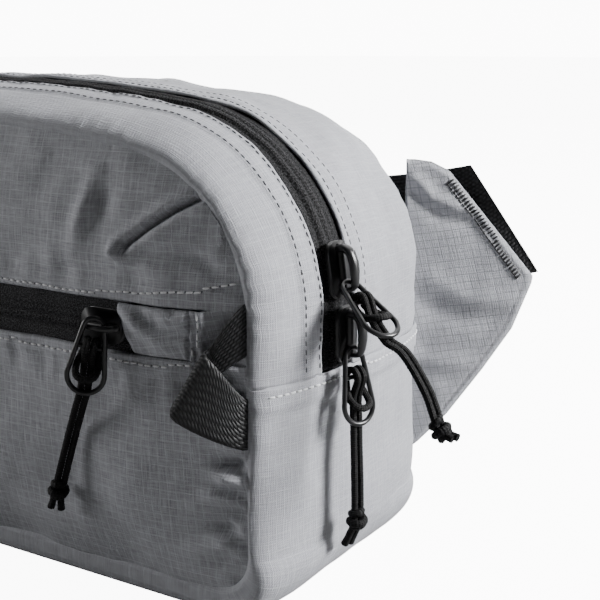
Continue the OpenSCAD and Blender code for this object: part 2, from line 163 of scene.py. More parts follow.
def tube(name, line, radius, mat, body, sides=16, relief=None, flat=1.0, first=(0.3, 1, 0.2), closed=False, **more):
    """A round or flattened tube along a line. relief(along, angle) adds to its radius."""
    t, a, b = frames(line, first)
    th = np.linspace(0, 2 * np.pi, sides, endpoint=False)
    along = np.concatenate([[0], np.cumsum(np.linalg.norm(np.diff(line, axis=0), axis=1))])
    r = np.broadcast_to(np.asarray(radius, float).reshape(-1, 1) if np.ndim(radius) else radius, (len(line), sides)).astype(float)
    if relief is not None:
        r = r + relief(along[:, None], th[None, :])
    P = line[:, None] + (r * np.cos(th))[..., None] * a[:, None] + (flat * r * np.sin(th))[..., None] * b[:, None]
    uv = np.stack(np.broadcast_arrays(along[:, None], th[None] * np.mean(r)), -1)
    m = len(line)
    faces = quads(m, sides, wrap=True, flip=True).tolist()
    if not closed:
        faces += [list(range(sides)), [(m - 1) * sides + j for j in range(sides)][::-1]]
    return mesh(name, P.reshape(-1, 3), faces, mat, body, uv.reshape(-1, 2), **more)


# ---- materials ----
class Shade:
    """Builds one node material. Sockets and numbers can be mixed in its sums."""

    def __init__(self, name, rough, metallic=0.0, sheen=0.0, coat=0.0, specular=0.5):
        self.m = bpy.data.materials.new(name)
        self.m.use_nodes = True
        self.t = self.m.node_tree
        self.out = self.t.nodes["Principled BSDF"]
        for socket, value in (("Roughness", rough), ("Metallic", metallic), ("Sheen Weight", sheen),
                              ("Coat Weight", coat), ("Specular IOR Level", specular)):
            self.out.inputs[socket].default_value = value
        self.out.inputs["Sheen Roughness"].default_value = 0.5

    def put(self, socket, value):
        if isinstance(value, bpy.types.NodeSocket):
            self.t.links.new(value, socket)
        else:
            socket.default_value = value

    def math(self, op, *values):
        n = self.t.nodes.new("ShaderNodeMath")
        n.operation = op
        for i, v in enumerate(values):
            self.put(n.inputs[i], v)
        return n.outputs[0]

    def add(self, *v):
        total = v[0]
        for x in v[1:]:
            total = self.math("ADD", total, x)
        return total

    def mul(self, *v):
        total = v[0]
        for x in v[1:]:
            total = self.math("MULTIPLY", total, x)
        return total

    def uv(self):
        """The two cloth coordinates, in millimetres."""
        n = self.t.nodes.new("ShaderNodeUVMap")
        n.uv_map = "cloth"
        s = self.t.nodes.new("ShaderNodeSeparateXYZ")
        self.t.links.new(n.outputs[0], s.inputs[0])
        return self.mul(s.outputs[0], 1000.0), self.mul(s.outputs[1], 1000.0)

    def solid(self):
        """The three object coordinates, in millimetres."""
        n = self.t.nodes.new("ShaderNodeTexCoord")
        s = self.t.nodes.new("ShaderNodeSeparateXYZ")
        self.t.links.new(n.outputs["Object"], s.inputs[0])
        return [self.mul(s.outputs[i], 1000.0) for i in range(3)]

    def noise(self, x, y, z=0.0, detail=2.0):
        c = self.t.nodes.new("ShaderNodeCombineXYZ")
        for i, v in enumerate((x, y, z)):
            self.put(c.inputs[i], v)
        n = self.t.nodes.new("ShaderNodeTexNoise")
        n.inputs["Scale"].default_value = 1.0
        n.inputs["Detail"].default_value = detail
        self.t.links.new(c.outputs[0], n.inputs["Vector"])
        return n.outputs[0]

    def colour(self, rgb, factor):
        n = self.t.nodes.new("ShaderNodeVectorMath")
        n.operation = "SCALE"
        n.inputs[0].default_value = rgb
        self.put(n.inputs["Scale"], factor)
        self.t.links.new(n.outputs[0], self.out.inputs["Base Color"])

    def relief(self, height, strength=1.0):
        """height is in millimetres."""
        n = self.t.nodes.new("ShaderNodeBump")
        n.inputs["Distance"].default_value = 0.001
        n.inputs["Strength"].default_value = strength
        self.put(n.inputs["Height"], height)
        self.t.links.new(n.outputs[0], self.out.inputs["Normal"])


def ripstop(name, rgb, streak=0.30, grid=0.10):
    """A fine plain weave with uneven yarns, and a grid of thicker yarns 3 mm apart."""
    s = Shade(name, 0.62, sheen=0.04, specular=0.38)
    u, v = s.uv()
    line = [s.math("MAXIMUM", s.math("SUBTRACT", 1.0, s.math("DIVIDE", s.math("PINGPONG", w, 1.5), 0.30)), 0.0)
            for w in (s.add(u, 500.0), s.add(v, 500.0))]
    ribs = s.math("MAXIMUM", line[0], line[1])
    across = s.noise(s.mul(u, 2.6), s.mul(v, 0.16), 0.0, 3.0)
    along = s.noise(s.mul(u, 0.16), s.mul(v, 2.6), 7.0, 3.0)
    yarns = s.add(across, along, -1.0)
    weave = s.mul(s.math("SINE", s.mul(u, 9.7)), s.math("SINE", s.mul(v, 9.7)))
    cloud = s.noise(s.mul(u, 0.03), s.mul(v, 0.03), 3.0)
    s.colour(rgb, s.add(0.98, s.mul(yarns, streak), s.mul(ribs, grid), s.mul(weave, 0.035), s.mul(s.add(cloud, -0.5), 0.10)))
    s.put(s.out.inputs["Roughness"], s.add(0.60, s.mul(across, 0.2)))
    s.relief(s.add(s.mul(ribs, 0.05), s.mul(yarns, 0.20), s.mul(weave, 0.03)), 1.0)
    return s.m


def webbing(name, length=2.3, width=1.35, depth=0.25):
    """Coarse webbing: staggered floats of thick shiny yarn, with a painted highlight on each float's top and painted
    shade between the floats.
    """
    s = Shade(name, 0.5, sheen=0.0, specular=0.35)
    u, v = s.uv()
    column = s.math("FLOOR", s.math("DIVIDE", v, width))
    float_u = s.math("ABSOLUTE", s.math("SINE", s.mul(s.add(s.math("DIVIDE", u, length), s.mul(column, 0.5)), math.pi)))
    float_v = s.math("ABSOLUTE", s.math("SINE", s.mul(s.math("DIVIDE", v, width), math.pi)))
    hump = s.mul(s.math("POWER", float_u, 0.6), float_v)
    fibre = s.noise(s.mul(u, 0.9), s.mul(v, 6.0), 0.0, 2.0)
    # Painted highlight and shade: the colour rises steeply on the tops of the floats and falls between them; the fibre
    # noise is the yarn's own.
    s.colour((0.010, 0.010, 0.011), s.add(0.05, s.mul(s.math("POWER", hump, 2.0), 2.6), s.mul(fibre, 0.5)))
    s.put(s.out.inputs["Roughness"], s.add(0.42, s.mul(fibre, 0.25)))
    s.relief(s.add(s.mul(hump, depth), s.mul(fibre, 0.06)), 1.0)
    return s.m


def tape(name, rgb=(0.016, 0.016, 0.017), speckle=3.4):
    """Woven zip tape, which looks speckled."""
    s = Shade(name, 0.8, sheen=0.0, specular=0.12)
    u, v = s.uv()
    spots = s.noise(s.mul(u, 1.9), s.mul(v, 1.9), 0.0, 4.0)
    ribs = s.math("SINE", s.mul(u, 7.0))
    rows = s.math("SINE", s.mul(v, 9.0))
    s.colour(rgb, s.math("MAXIMUM", s.add(0.9, s.mul(s.add(spots, -0.5), 6.0 * speckle / 2.2), s.mul(ribs, 0.12)), 0.25))
    s.relief(s.add(s.mul(spots, 0.30), s.mul(ribs, 0.03), s.mul(rows, 0.03)), 1.0)
    return s.m


def cordage(name):
    """Braided cord; the braid is in the mesh, and the fibres are here, with a painted highlight on the crests of a
    finer braid.
    """
    s = Shade(name, 0.62, specular=0.16)
    u, v = s.uv()
    a = s.math("SINE", s.mul(s.add(s.math("DIVIDE", u, 1.5), s.math("DIVIDE", v, 1.2)), 2 * math.pi))
    b = s.math("SINE", s.mul(s.add(s.math("DIVIDE", u, 1.5), s.math("DIVIDE", v, -1.2)), 2 * math.pi))
    braid = s.mul(a, b)
    fibre = s.noise(s.mul(u, 3.0), s.mul(v, 3.0), 0.0, 3.0)
    # Painted highlight: the colour is lighter where the braid's bump rises; the fibre speckle is the cord's own.
    s.colour((0.008, 0.008, 0.0085), s.math("MAXIMUM", s.add(0.5, s.mul(braid, 0.45), s.mul(s.add(fibre, -0.45), 2.2)), 0.15))
    s.relief(s.add(s.mul(braid, 0.08), s.mul(fibre, 0.15)), 1.0)
    return s.m


def hard(name, rgb, rough, metallic=0.0, coat=0.0, grain=0.01, size=1.5):
    """Enamelled metal or moulded plastic, with a fine grain and slightly uneven gloss."""
    s = Shade(name, rough, metallic=metallic, coat=coat)
    x, y, z = s.solid()
    fine = s.noise(s.mul(x, size), s.mul(y, size), s.mul(z, size), 3.0)
    broad = s.noise(s.mul(x, 0.15), s.mul(y, 0.15), s.mul(z, 0.15), 2.0)
    s.colour(rgb, s.add(0.8, s.mul(fine, 0.25), s.mul(broad, 0.15)))
    s.put(s.out.inputs["Roughness"], s.add(rough - 0.06, s.mul(fine, 0.06), s.mul(broad, 0.08)))
    s.relief(s.mul(fine, grain), 1.0)
    return s.m


def spacer(name):
    """Open three-dimensional mesh over foam."""
    s = Shade(name, 0.75, sheen=0.1, specular=0.25)
    u, v = s.uv()
    c = s.t.nodes.new("ShaderNodeCombineXYZ")
    s.put(c.inputs[0], s.mul(u, 0.40))
    s.put(c.inputs[1], s.mul(v, 0.46))
    n = s.t.nodes.new("ShaderNodeTexVoronoi")
    n.feature = "F1"
    n.inputs["Scale"].default_value = 1.0
    n.inputs["Randomness"].default_value = 0.12
    s.t.links.new(c.outputs[0], n.inputs["Vector"])
    rim = s.math("MINIMUM", s.mul(n.outputs["Distance"], 2.0), 1.0)
    fibre = s.noise(s.mul(u, 4.0), s.mul(v, 4.0), 0.0, 2.0)
    s.colour((0.016, 0.016, 0.018), s.add(0.2, s.mul(rim, 0.8), s.mul(fibre, 0.5)))
    s.relief(s.add(s.mul(rim, 0.7), s.mul(fibre, 0.08)), 1.0)
    return s.m


def thread(name, rgb):
    s = Shade(name, 0.5, sheen=0.2)
    x, y, z = s.solid()
    twist = s.noise(s.mul(x, 3.0), s.mul(y, 3.0), s.mul(z, 3.0))
    s.colour(rgb, s.add(0.75, s.mul(twist, 0.5)))
    s.relief(s.mul(twist, 0.08), 1.0)
    return s.m


GREY = (0.30, 0.305, 0.33)
M_RIPSTOP = ripstop("ripstop", GREY, 0.55, 0.12)
# Painted shade: the front panels' copy of the ripstop has stronger yarn streaks and grid in its colour, standing in for
# the weave's shading in grazing light; the streaks and grid themselves are the cloth's own.
M_FRONT_PAINTED_SHADE = ripstop("ripstop_front_painted_shade", GREY, 1.0, 0.30)
# Painted shade: the wing's grid lines are painted darker than the cells, standing in for the shade beside the raised
# yarns; the grid itself is the cloth's own.
M_WING = ripstop("ripstop_wing", GREY, 0.60, -0.34)
M_LINING = ripstop("lining", (0.20, 0.21, 0.23), 0.2, 0.0)
M_WEBBING = webbing("webbing")
M_ELASTIC = webbing("elastic", 0.9, 0.9, 0.12)
M_TAPE = tape("zip_tape")
# Painted light: a lighter copy of the zip tape for the pocket zip, which stands in the shade of the front, so that it
# reads as lit.
M_TAPE_PAINTED_LIGHT = tape("zip_tape_painted_light", (0.030, 0.030, 0.032))
M_COIL = tape("zip_coil", (0.012, 0.012, 0.013), 1.6)
M_BINDING = tape("binding", (0.03, 0.03, 0.032), 1.0)
M_SPACER = spacer("spacer_mesh")
M_CORD = cordage("cord")
M_SLIDER = hard("slider", (0.008, 0.008, 0.009), 0.33, metallic=0.1, coat=0.1, grain=0.006)
M_WIRE = hard("ring_wire", (0.010, 0.010, 0.011), 0.30, metallic=0.2, coat=0.1, grain=0.004)
M_BUCKLE = hard("buckle", (0.011, 0.011, 0.012), 0.42, grain=0.02, size=2.5)
M_THREAD = thread("thread_grey", (0.62, 0.62, 0.64))
# Painted shade: a dark grey thread for the gusset rows and the needle holes; its darkness stands in for the stitches'
# shadows and the shade in the holes.
M_PAINTED_SHADE_THREAD = thread("thread_painted_shade", (0.10, 0.10, 0.11))
M_BLACK_THREAD = thread("thread_black", (0.02, 0.02, 0.022))


# ---- the gusset round the body: s runs from the top middle, to the right, round the outline ----
ARCH = math.asin(77 / 595.4)
TURNS = np.cumsum([650.4 * ARCH, 55 * (math.pi / 2 - ARCH), 80, 7.5 * math.pi, 117])
END_S = TURNS[1] + 20.6


def rim(s):
    s = (np.asarray(s, float) + TURNS[4]) % (2 * TURNS[4]) - TURNS[4]
    t = np.abs(s)
    part = [t < TURNS[0], t < TURNS[1], t < TURNS[2], t < TURNS[3]]
    a = np.select(part, [math.pi / 2 - t / 650.4, math.pi / 2 - ARCH - (t - TURNS[0]) / 55, 0 * t, -(t - TURNS[2]) / 15], -math.pi / 2)
    x = np.select(part, [650.4 * np.cos(a), 77 + 55 * np.cos(a), 132 + 0 * t, 117 + 15 * np.cos(a)], TURNS[4] - t)
    z = np.select(part, [-485.4 + 650.4 * np.sin(a), 105 + 55 * np.sin(a), 105 - (t - TURNS[1]), 25 + 15 * np.sin(a)], 10.0)
    side = np.where(s < 0, -1, 1)
    return side * x, z, side * np.cos(a), np.sin(a)


def swell(y, nz):
    down = np.maximum(0, -nz)
    most = 12.5 - 2.5 * down
    e = 2 + 4 * down
    u = np.minimum(1, np.abs(y / 53.5))
    return np.minimum(most, most * (1 + 0.03 * down) * (1 - u**e) ** (1 / e))


WIDER = 53.5 / 54.7


def gusset(s, y, out=0.0, on=1.0):
    """A point on the gusset, whose cloth rolls 1.2 mm over each seam. Where on is 0 it's tucked into the seam."""
    x, z, nx, nz = rim(s)
    b = on * swell(y * WIDER, nz) + out
    return np.stack([x + nx * b, y + 0 * b, z + nz * b], -1)


def gusset_piece(name, s0, s1, rows, detail, node, mat=None, step=1.3, flip=False):
    """rows are [y, out, on] across the strip; detail(s, y) adds to out, and fades where the pack stands."""
    s = np.linspace(s0, s1, int((s1 - s0) / step) + 1)
    rows = np.asarray(rows, float)
    S, Y = np.meshgrid(s, rows[:, 0], indexing="ij")
    fade = (1 - np.maximum(0, -rim(S)[3])) * rows[:, 2]
    P = gusset(S, Y, rows[:, 1] + detail(S, Y) * fade, rows[:, 2])
    v = np.concatenate([[0], np.cumsum(np.linalg.norm(np.diff(gusset(120, rows[:, 0], rows[:, 1], rows[:, 2]), axis=0), axis=1))])
    uv = np.stack(np.broadcast_arrays(S, v[None, :]), -1)
    return cloth(name, P, uv, mat or M_RIPSTOP, "pack", replaces=(node,), slot="ripstop", flip=flip)


def seam_roll(side):
    """Rows that come out of the seam at the front (-1) or the back (1) and round its roll."""
    tuck = [[side * 52.4, -2.6, 0], [side * 53.4, -2.0, 0], [side * 54.2, -1.1, 0], [side * 54.6, -0.4, 0]]
    return tuck + [[side * (54.7 - d), 0, 1] for d in (0, 0.02, 0.07, 0.16, 0.32, 0.55, 0.85, 1.2, 1.65, 2.2, 2.9, 3.7, 4.6)]


def hem_at(y, edge, side):
    """Extra height of a folded hem whose edge is at y = edge; side points from the edge into the fabric."""
    d = (y - edge) * side
    return 0.55 * (1 - ease((d - 8.3) / 1.2)) + 0.22 * bump(d - 0.8, 0.9) - 0.30 * bump(d - 2.4, 0.7) - 0.22 * bump(d - 8.8, 0.8)


def seam_gathers(s, y, side, seed):
    """Small gathers along a curved seam, deepest at the seam itself."""
    d = np.abs(y - side * 54)
    curve = bump((np.abs(s) - 122) / 60, 1.0)
    return (0.16 + 0.26 * curve) * waves(s, 0.15 * y, 7.0, seed) * np.exp(-d / 4.5)


inner = np.arange(-49.2, -29.6, 0.9)
front_rows = seam_roll(-1) + [[y, 0, 1] for y in inner] + [[-29.0, 0, 1], [-28.4, 0.05, 1], [-28.0, -0.1, 1], [-27.8, -0.45, 1], [-27.9, -0.9, 1]]


def front_detail(s, y):
    near = bump(y + 28.4, 3.5)
    return hem_at(y, -28.2, -1) * (y > -44) + seam_gathers(s, y, -1, 3) + 0.30 * waves(s, y, 26, 5) + 0.12 * waves(s, y, 7, 6) * near


strip_front = gusset_piece("gusset_front_cloth", -END_S, END_S, front_rows, front_detail, "gusset_front_strip")

back_rows = ([[-11.2, -0.9, 1], [-11.2, -0.45, 1], [-10.9, -0.1, 1], [-10.5, 0.05, 1], [-9.9, 0, 1]] + [[y, 0, 1] for y in np.arange(-9.0, 49.0, 1.4)]
             + seam_roll(1)[::-1])


def back_detail(s, y):
    soft = waves(s, y, 42, 11) * bump(y - 24, 30)
    return hem_at(y, -10.8, 1) * (y < 5) + seam_gathers(s, y, 1, 8) + 0.75 * soft + 0.3 * waves(s, y, 18, 12)


strip_back = gusset_piece("gusset_back_cloth", -END_S, END_S, back_rows, back_detail, "gusset_back_strip")

low_rows = seam_roll(-1) + [[y, 0, 1] for y in np.arange(-49.0, 49.2, 1.4)] + seam_roll(1)[::-1]


def low_detail(s, y):
    d = np.minimum(s - END_S, 2 * TURNS[4] - END_S - s)
    hem = 0.85 * (1 - ease((d - 7.5) / 1.5)) - 0.35 * bump(d - 2.6, 0.8) - 0.9 * bump(d + 0.2, 0.7)
    tug = bump(d - 14, 16) * waves(s * 0.35, y, 15, 21)
    sag = bump(d - 55, 28) * waves(s, y * 0.5, 40, 23)
    return hem + seam_gathers(s, y, -1, 15) + seam_gathers(s, y, 1, 16) + 0.35 * tug + 0.8 * sag + 0.3 * waves(s, y, 22, 22)


low_cloth = gusset_piece("gusset_lower_cloth", END_S - 0.4, 2 * TURNS[4] - END_S + 0.4, low_rows, low_detail, "gusset_lower")


# ---- main zip ----
def zip_relief(d):
    """Height of a closed reverse-coil zip above its tape, by distance from the centre line."""
    return 1.15 * (1 - ease((np.abs(d) - 2.6) / 1.1)) - 0.42 * bump(d, 0.45) + 0.18 * bump(np.abs(d) - 1.7, 0.5) + 0.14 * bump(np.abs(d) - 6.0, 0.5)


zs = np.linspace(-END_S + 0.6, END_S - 0.6, 760)
zy = np.arange(-28.3, -10.6, 0.35)
S, Y = np.meshgrid(zs, zy, indexing="ij")
teeth = 0.20 * np.sin(2 * np.pi * S / 1.5 + (Y > -19.5) * np.pi) * bump(np.abs(Y + 19.5) - 1.6, 1.2)
cloth("main_zip", gusset(S, Y, -0.95 + zip_relief(Y + 19.5) + teeth + 0.12 * waves(S, Y, 16, 31)), np.stack([S, Y], -1), M_TAPE,
      "pack", replaces=("main_zip_tape", "main_zip_chain"), slot="zip_tape")


# ---- the front: two panels, the pocket zip and its garages ----
def puff(x, z):
    def up(t):
        return 1 - (1 - np.clip(t, 0, 1)) ** 2

    x = np.abs(x)
    corner = 55 - np.hypot(x - 77, z - 105)
    top = 650.4 - np.hypot(x, z + 485.4)
    side = np.where(z <= 105, 132 - x, np.where(x > 77, corner, top))
    return up(side / 45) * up((z - 10) / 45)


def top_edge(x, inset):
    x = np.abs(x)
    return np.where(x > 77, 105 + np.sqrt(np.maximum(0, (55 - inset) ** 2 - (x - 77) ** 2)), -485.4 + np.sqrt((650.4 - inset) ** 2 - x**2))


def low_edge(x, inset):
    d = np.abs(x) - 117
    return np.where(d <= 0, 10 + inset, 25 - np.sqrt(np.maximum(0, (15 - inset) ** 2 - d**2)))


DART = [(117, 146), (105.4, 139.8), (95, 132.9), (87, 127)]
CREASES = [([(73, 150), (70, 138), (66, 125)], 1.5, 3.5), ([(80, 150), (77, 138), (73, 127)], -0.8, 4), ([(52, 158), (45, 146)], 0.5, 4), ([(96, 128), (112, 126), (126, 121)], -0.8, 3),
           ([(90, 122), (110, 119)], 0.6, 3), ([(20, 150), (14, 133)], 0.5, 5), ([(-70, 150), (-60, 132)], 0.7, 4)]
LOW_CREASES = [([(129, 60), (122, 50), (112, 44)], 0.9, 2.5), ([(129, 48), (121, 37), (108, 30)], -0.9, 3), ([(129, 35), (119, 27), (104, 23)], 0.9, 2.5),
               ([(127, 27), (116, 19)], -0.7, 2), ([(128, 72), (116, 70), (104, 76)], 0.6, 3), ([(100, 86), (92, 70)], 0.7, 4),
               ([(64, 88), (72, 66), (84, 50)], 0.8, 7), ([(20, 20), (60, 30), (104, 40)], 0.9, 8), ([(-120, 60), (-100, 40)], 0.9, 5),
               ([(-40, 85), (-60, 60)], 0.8, 7), ([(10, 84), (2, 58)], 0.7, 6)]


def creased(x, z, creases):
    total = 0 * x
    for line, high, width in creases:
        d, k = to_line(x, z, line)
        total = total + high * bump(d, width) * np.sin(np.pi * np.clip(k, 0.08, 0.92))
    return total


def upper_detail(x, z):
    ax = np.abs(x)
    d, k = to_line(ax, z, DART)
    dart = -2.9 * bump(d, 1.05) * (1 - ease((k - 0.85) / 0.15)) * ease(k / 0.10) + 1.7 * bump(d - 3.0, 2.2) * (1 - k * 0.4) * ease(k / 0.35)
    pucker = 3.0 * bump(np.hypot(ax - 84.5, (z - 125.5) * 1.2), 2.6) - 1.4 * bump(np.hypot(ax - 88.5, z - 127.5), 1.8)
    pucker = pucker + 0.9 * bump(np.hypot((x - 104) * 0.6, z - 131), 4.0) + 1.0 * bump(np.hypot(x - 121, (z - 132) * 0.35), 3.0)
    h = z - 109
    hem = 0.6 * (1 - ease((h - 5.5) / 1.2)) - 0.35 * bump(h - 2.2, 0.8) - 1.0 * bump(h + 0.1, 0.35)
    gathers = 0.25 * waves(x * 1.2, z * 0.3, 9, 41) * bump(h - 8, 6)
    return dart + pucker + hem + gathers + 1.7 * creased(x, z, CREASES) + 0.55 * waves(x, z, 38, 42) + 0.22 * waves(x, z, 14, 43)


def lower_detail(x, z):
    h = 92 - z
    hem = 0.6 * (1 - ease((h - 5.5) / 1.2)) - 0.35 * bump(h - 2.6, 0.8) - 1.0 * bump(h + 0.1, 0.35)
    gathers = 0.3 * waves(x * 1.2, z * 0.3, 9, 51) * bump(h - 8, 6)
    edge = 1.7 * waves(x * 0.3, z, 8, 54) * bump(x - 126, 7) * ease((x - 60) / 40) * ease((131.8 - x) / 4.5)
    return hem + gathers + edge + 1.3 * creased(x, z, LOW_CREASES) + 0.8 * waves(x, z, 52, 52) * (0.45 + 0.55 * ease((x + 40) / 60)) + 0.16 * waves(x, z, 17, 53)


def panel(name, low, high, detail, node, side=-1, puffed=9.0, step=0.85, mat=None, flip=False):
    xs = 131.3 * np.sin(np.linspace(-math.pi / 2, math.pi / 2, int(330 / step)))
    n = int((high(0) - low(0)) / step) + 1
    t = np.linspace(0, 1, n)
    X = np.broadcast_to(xs[:, None], (len(xs), n))
    Z = low(X) + (high(X) - low(X)) * t
    Y = side * (53.5 + puffed * puff(X, Z) + detail(X, Z))
    return cloth(name, np.stack([X, Y, Z], -1), np.stack([X, Z], -1), mat or M_FRONT_PAINTED_SHADE, "pack", replaces=(node,), slot="ripstop", flip=flip)


# Both panels wear the front copy of the ripstop, whose stronger colour contrast is painted shade.
upper_cloth = panel("front_upper_cloth", lambda x: 108.9 + 0 * x, lambda x: top_edge(x, 0.4), upper_detail, "front_panel_upper")
lower_cloth = panel("front_lower_cloth", lambda x: low_edge(x, 0.4), lambda x: 92.2 + 0 * x, lower_detail, "front_panel_lower")

X, Z = np.meshgrid(np.arange(-90, 90.1, 0.5), np.arange(91.4, 109.7, 0.35), indexing="ij")
teeth = 0.55 * np.abs(np.sin(np.pi * X / 1.5 + (Z > 100.5) * 0.5 * np.pi)) * bump(np.abs(Z - 100.5) - 1.7, 1.0)
# The pocket zip wears the lighter copy of the tape, which is painted light.
cloth("pocket_zip", np.stack([X, -61.6 - zip_relief(Z - 100.5) - teeth + 0.15 * waves(X, Z, 15, 33), Z], -1), np.stack([X, Z], -1), M_TAPE_PAINTED_LIGHT, "pack",
      replaces=("pocket_zip_tape", "pocket_zip_chain"), slot="zip_tape")
for side, name in ((1, "right"), (-1, "left")):
    X, T = np.meshgrid(np.linspace(0, 1, 110), np.linspace(0, 1, 46), indexing="ij")
    start = 86.2 + 5.2 * (1 - T) ** 1.5 + 0.6 * np.sin(5 * T)
    X = start + (131.2 - start) * X
    right = ease((X - 116) / 6)
    Z = 92.3 - 1.6 * right + (16.4 + 2.6 * right) * T
    arch = np.sqrt(np.maximum(0, 1 - np.abs(2 * T - 1) ** 3.0))
    folds = (1.3 * bump(to_line(X, Z, [(89, 107), (96, 101), (104, 97)])[0], 2.4) - 1.1 * bump(to_line(X, Z, [(92, 109), (101, 103), (111, 101)])[0], 2.0)
             + 0.9 * bump(to_line(X, Z, [(101, 109), (107, 105), (112, 106)])[0], 1.8) - 0.7 * bump(to_line(X, Z, [(90, 95), (100, 94)])[0], 2.0))
    tab = (0.4 + 1.9 * arch + folds * arch) * (1 - ease((X - 111.8) / 0.7))
    strap = 1.5 * ease((X - 112.6) / 0.6) * (1 - ease((X - 117.2) / 0.7)) - 0.5 * bump(X - 114.9, 0.5)
    Y = -(53.2 + 9 * puff(X, Z) + tab * ease((X - start) / 0.8 + 0.3) + strap + 0.25 * waves(X, Z, 8, 61))
    # The garage tabs wear the same front ripstop, with its painted shade contrast.
    o = cloth(f"zip_garage_{name}_cloth", np.stack([side * X, Y, Z], -1), np.stack([X * 0.96 + Z * 0.25, Z - X * 0.2], -1), M_FRONT_PAINTED_SHADE, "pack",
              replaces=(f"zip_garage_{name}",), slot="ripstop", flip=side < 0)
    if side > 0:
        garage_cloth = o


# ---- back panel ----
def back_bumps(x, z):
    return 0.5 * waves(x, z, 40, 71) - 0.3


panel("back_cloth", lambda x: low_edge(x, 0.4), lambda x: top_edge(x, 0.4), back_bumps, "back_panel", side=1, puffed=3.0, step=2.5, flip=True)


# ---- the back pad: foam in spacer mesh, filled out by a short cloth simulation between its sewn channels ----
PAD_IN = 12.8


def from_pad_edge(x, z):
    x = np.abs(x)
    arch = 650.4 - PAD_IN - np.hypot(x, z + 485.4)
    corner = 55 - PAD_IN - np.hypot(x - 77, z - 105)
    side = np.where(z <= 105, 132 - PAD_IN - x, np.where(x > 77, corner, arch))
    return np.maximum(0, np.minimum(side, z - 10 - PAD_IN))


def channel(x, z):
    """Distance from the nearest sewn channel."""
    level = z - 8 * (x / 119) ** 2
    return np.min([np.abs(level - h) for h in (50, 80, 118)], 0)


def pad_form(m, n):
    """Outer and inner face of the pad as grids of points."""
    x = (132 - PAD_IN) * np.sin(np.linspace(-math.pi / 2, math.pi / 2, m))
    X = np.broadcast_to(x[:, None], (m, n))
    Z = low_edge(X, PAD_IN) + (top_edge(X, PAD_IN) - low_edge(X, PAD_IN)) * np.linspace(0, 1, n)
    base = 53.8 + 3 * puff(X, Z)
    crown = np.sqrt(1 - (1 - np.clip(from_pad_edge(X, Z) / 6, 0, 1)) ** 2)
    sewn = 1 - 0.55 * bump(channel(X, Z), 2.0) - 0.12 * bump(channel(X, Z), 6.0)
    outer = base + 0.3 + (60.5 - base) * crown * sewn
    return np.stack([X, outer, Z], -1), np.stack([X, base, Z], -1)


def closed(outer, inner):
    m, n = outer.shape[:2]
    P = np.concatenate([outer, inner[:, ::-1]], 1)
    faces = quads(m, 2 * n, wrap=True, flip=True).tolist()
    return P.reshape(-1, 3), faces + [list(range(2 * n))[::-1], [(m - 1) * 2 * n + j for j in range(2 * n)]]


def inflated(P, faces, pinned, cap, pressure=4.0, last=20):
    """How far each point moves out under pressure, as a cloth held at its pinned points."""
    me = bpy.data.meshes.new("trial")
    me.from_pydata((P * 0.001).tolist(), [], faces)
    o = bpy.data.objects.new("trial", me)
    scene = bpy.context.scene
    scene.collection.objects.link(o)
    o.vertex_groups.new(name="sewn").add([int(i) for i in pinned], 1.0, "REPLACE")
    m = o.modifiers.new("cloth", "CLOTH")
    m.settings.use_pressure = True
    m.settings.uniform_pressure_force = pressure
    m.settings.effector_weights.gravity = 0
    m.settings.vertex_group_mass = "sewn"
    m.point_cache.frame_start, m.point_cache.frame_end = 1, last
    for f in range(1, last + 1):
        scene.frame_set(f)
    done = o.evaluated_get(bpy.context.evaluated_depsgraph_get()).data
    Q = np.empty(len(P) * 3)
    done.vertices.foreach_get("co", Q)
    scene.frame_set(1)
    bpy.data.objects.remove(o)
    move = Q.reshape(-1, 3) * 1000 - P
    far = np.linalg.norm(move, axis=1)[:, None]
    return move * np.minimum(1, cap / np.maximum(far, 1e-9))


def between(grid, m, n):
    """A grid of values, interpolated to m by n."""
    u, v = np.linspace(0, 1, grid.shape[0]), np.linspace(0, 1, grid.shape[1])
    rows = np.stack([np.interp(np.linspace(0, 1, n), v, row) for row in grid])
    return np.stack([np.interp(np.linspace(0, 1, m), u, rows[:, j]) for j in range(n)], 1)


PAD_M, PAD_N = 230, 130
outer, inner = pad_form(PAD_M, PAD_N)
trial_out, trial_in = pad_form(61, 33)
points, faces = closed(trial_out, trial_in)
x, z = trial_out[..., 0], trial_out[..., 2]
held = np.concatenate([(from_pad_edge(x, z) < 2) | (channel(x, z) < 2.6), np.ones(x.shape, bool)], 1)
move = inflated(points, faces, np.flatnonzero(held.ravel()), 1.1).reshape(61, 66, 3)[:, :33]
print("PAD moved", round(float(np.abs(move).max()), 2), "mm")
outer = outer + np.stack([between(move[..., i], PAD_M, PAD_N) for i in range(3)], -1)
points, faces = closed(outer, inner)
pad_uv = points[:, [0, 2]]
back_pad = mesh("back_pad_mesh", points, faces, M_SPACER, "pack", pad_uv, replaces=("back_pad",), slot="spacer_mesh")
k = np.linspace(-math.pi / 2, math.pi / 2, 90)
x = (131.8 - PAD_IN) * np.sin(k)
ring = np.concatenate([np.stack([x, top_edge(x, PAD_IN + 0.2)], 1), np.stack([x, low_edge(x, PAD_IN + 0.2)], 1)[::-1]])
ring = resample(np.concatenate([ring, ring[:1]]), 2.0)[:-1]
ring = np.stack([ring[:, 0], 54.6 + 3 * puff(ring[:, 0], ring[:, 1]), ring[:, 1]], 1)
tube("back_pad_binding", np.concatenate([ring, ring[:1]]), 1.5, M_BINDING, "pack", sides=14, flat=0.85, first=(0, 1, 0), slot="binding")


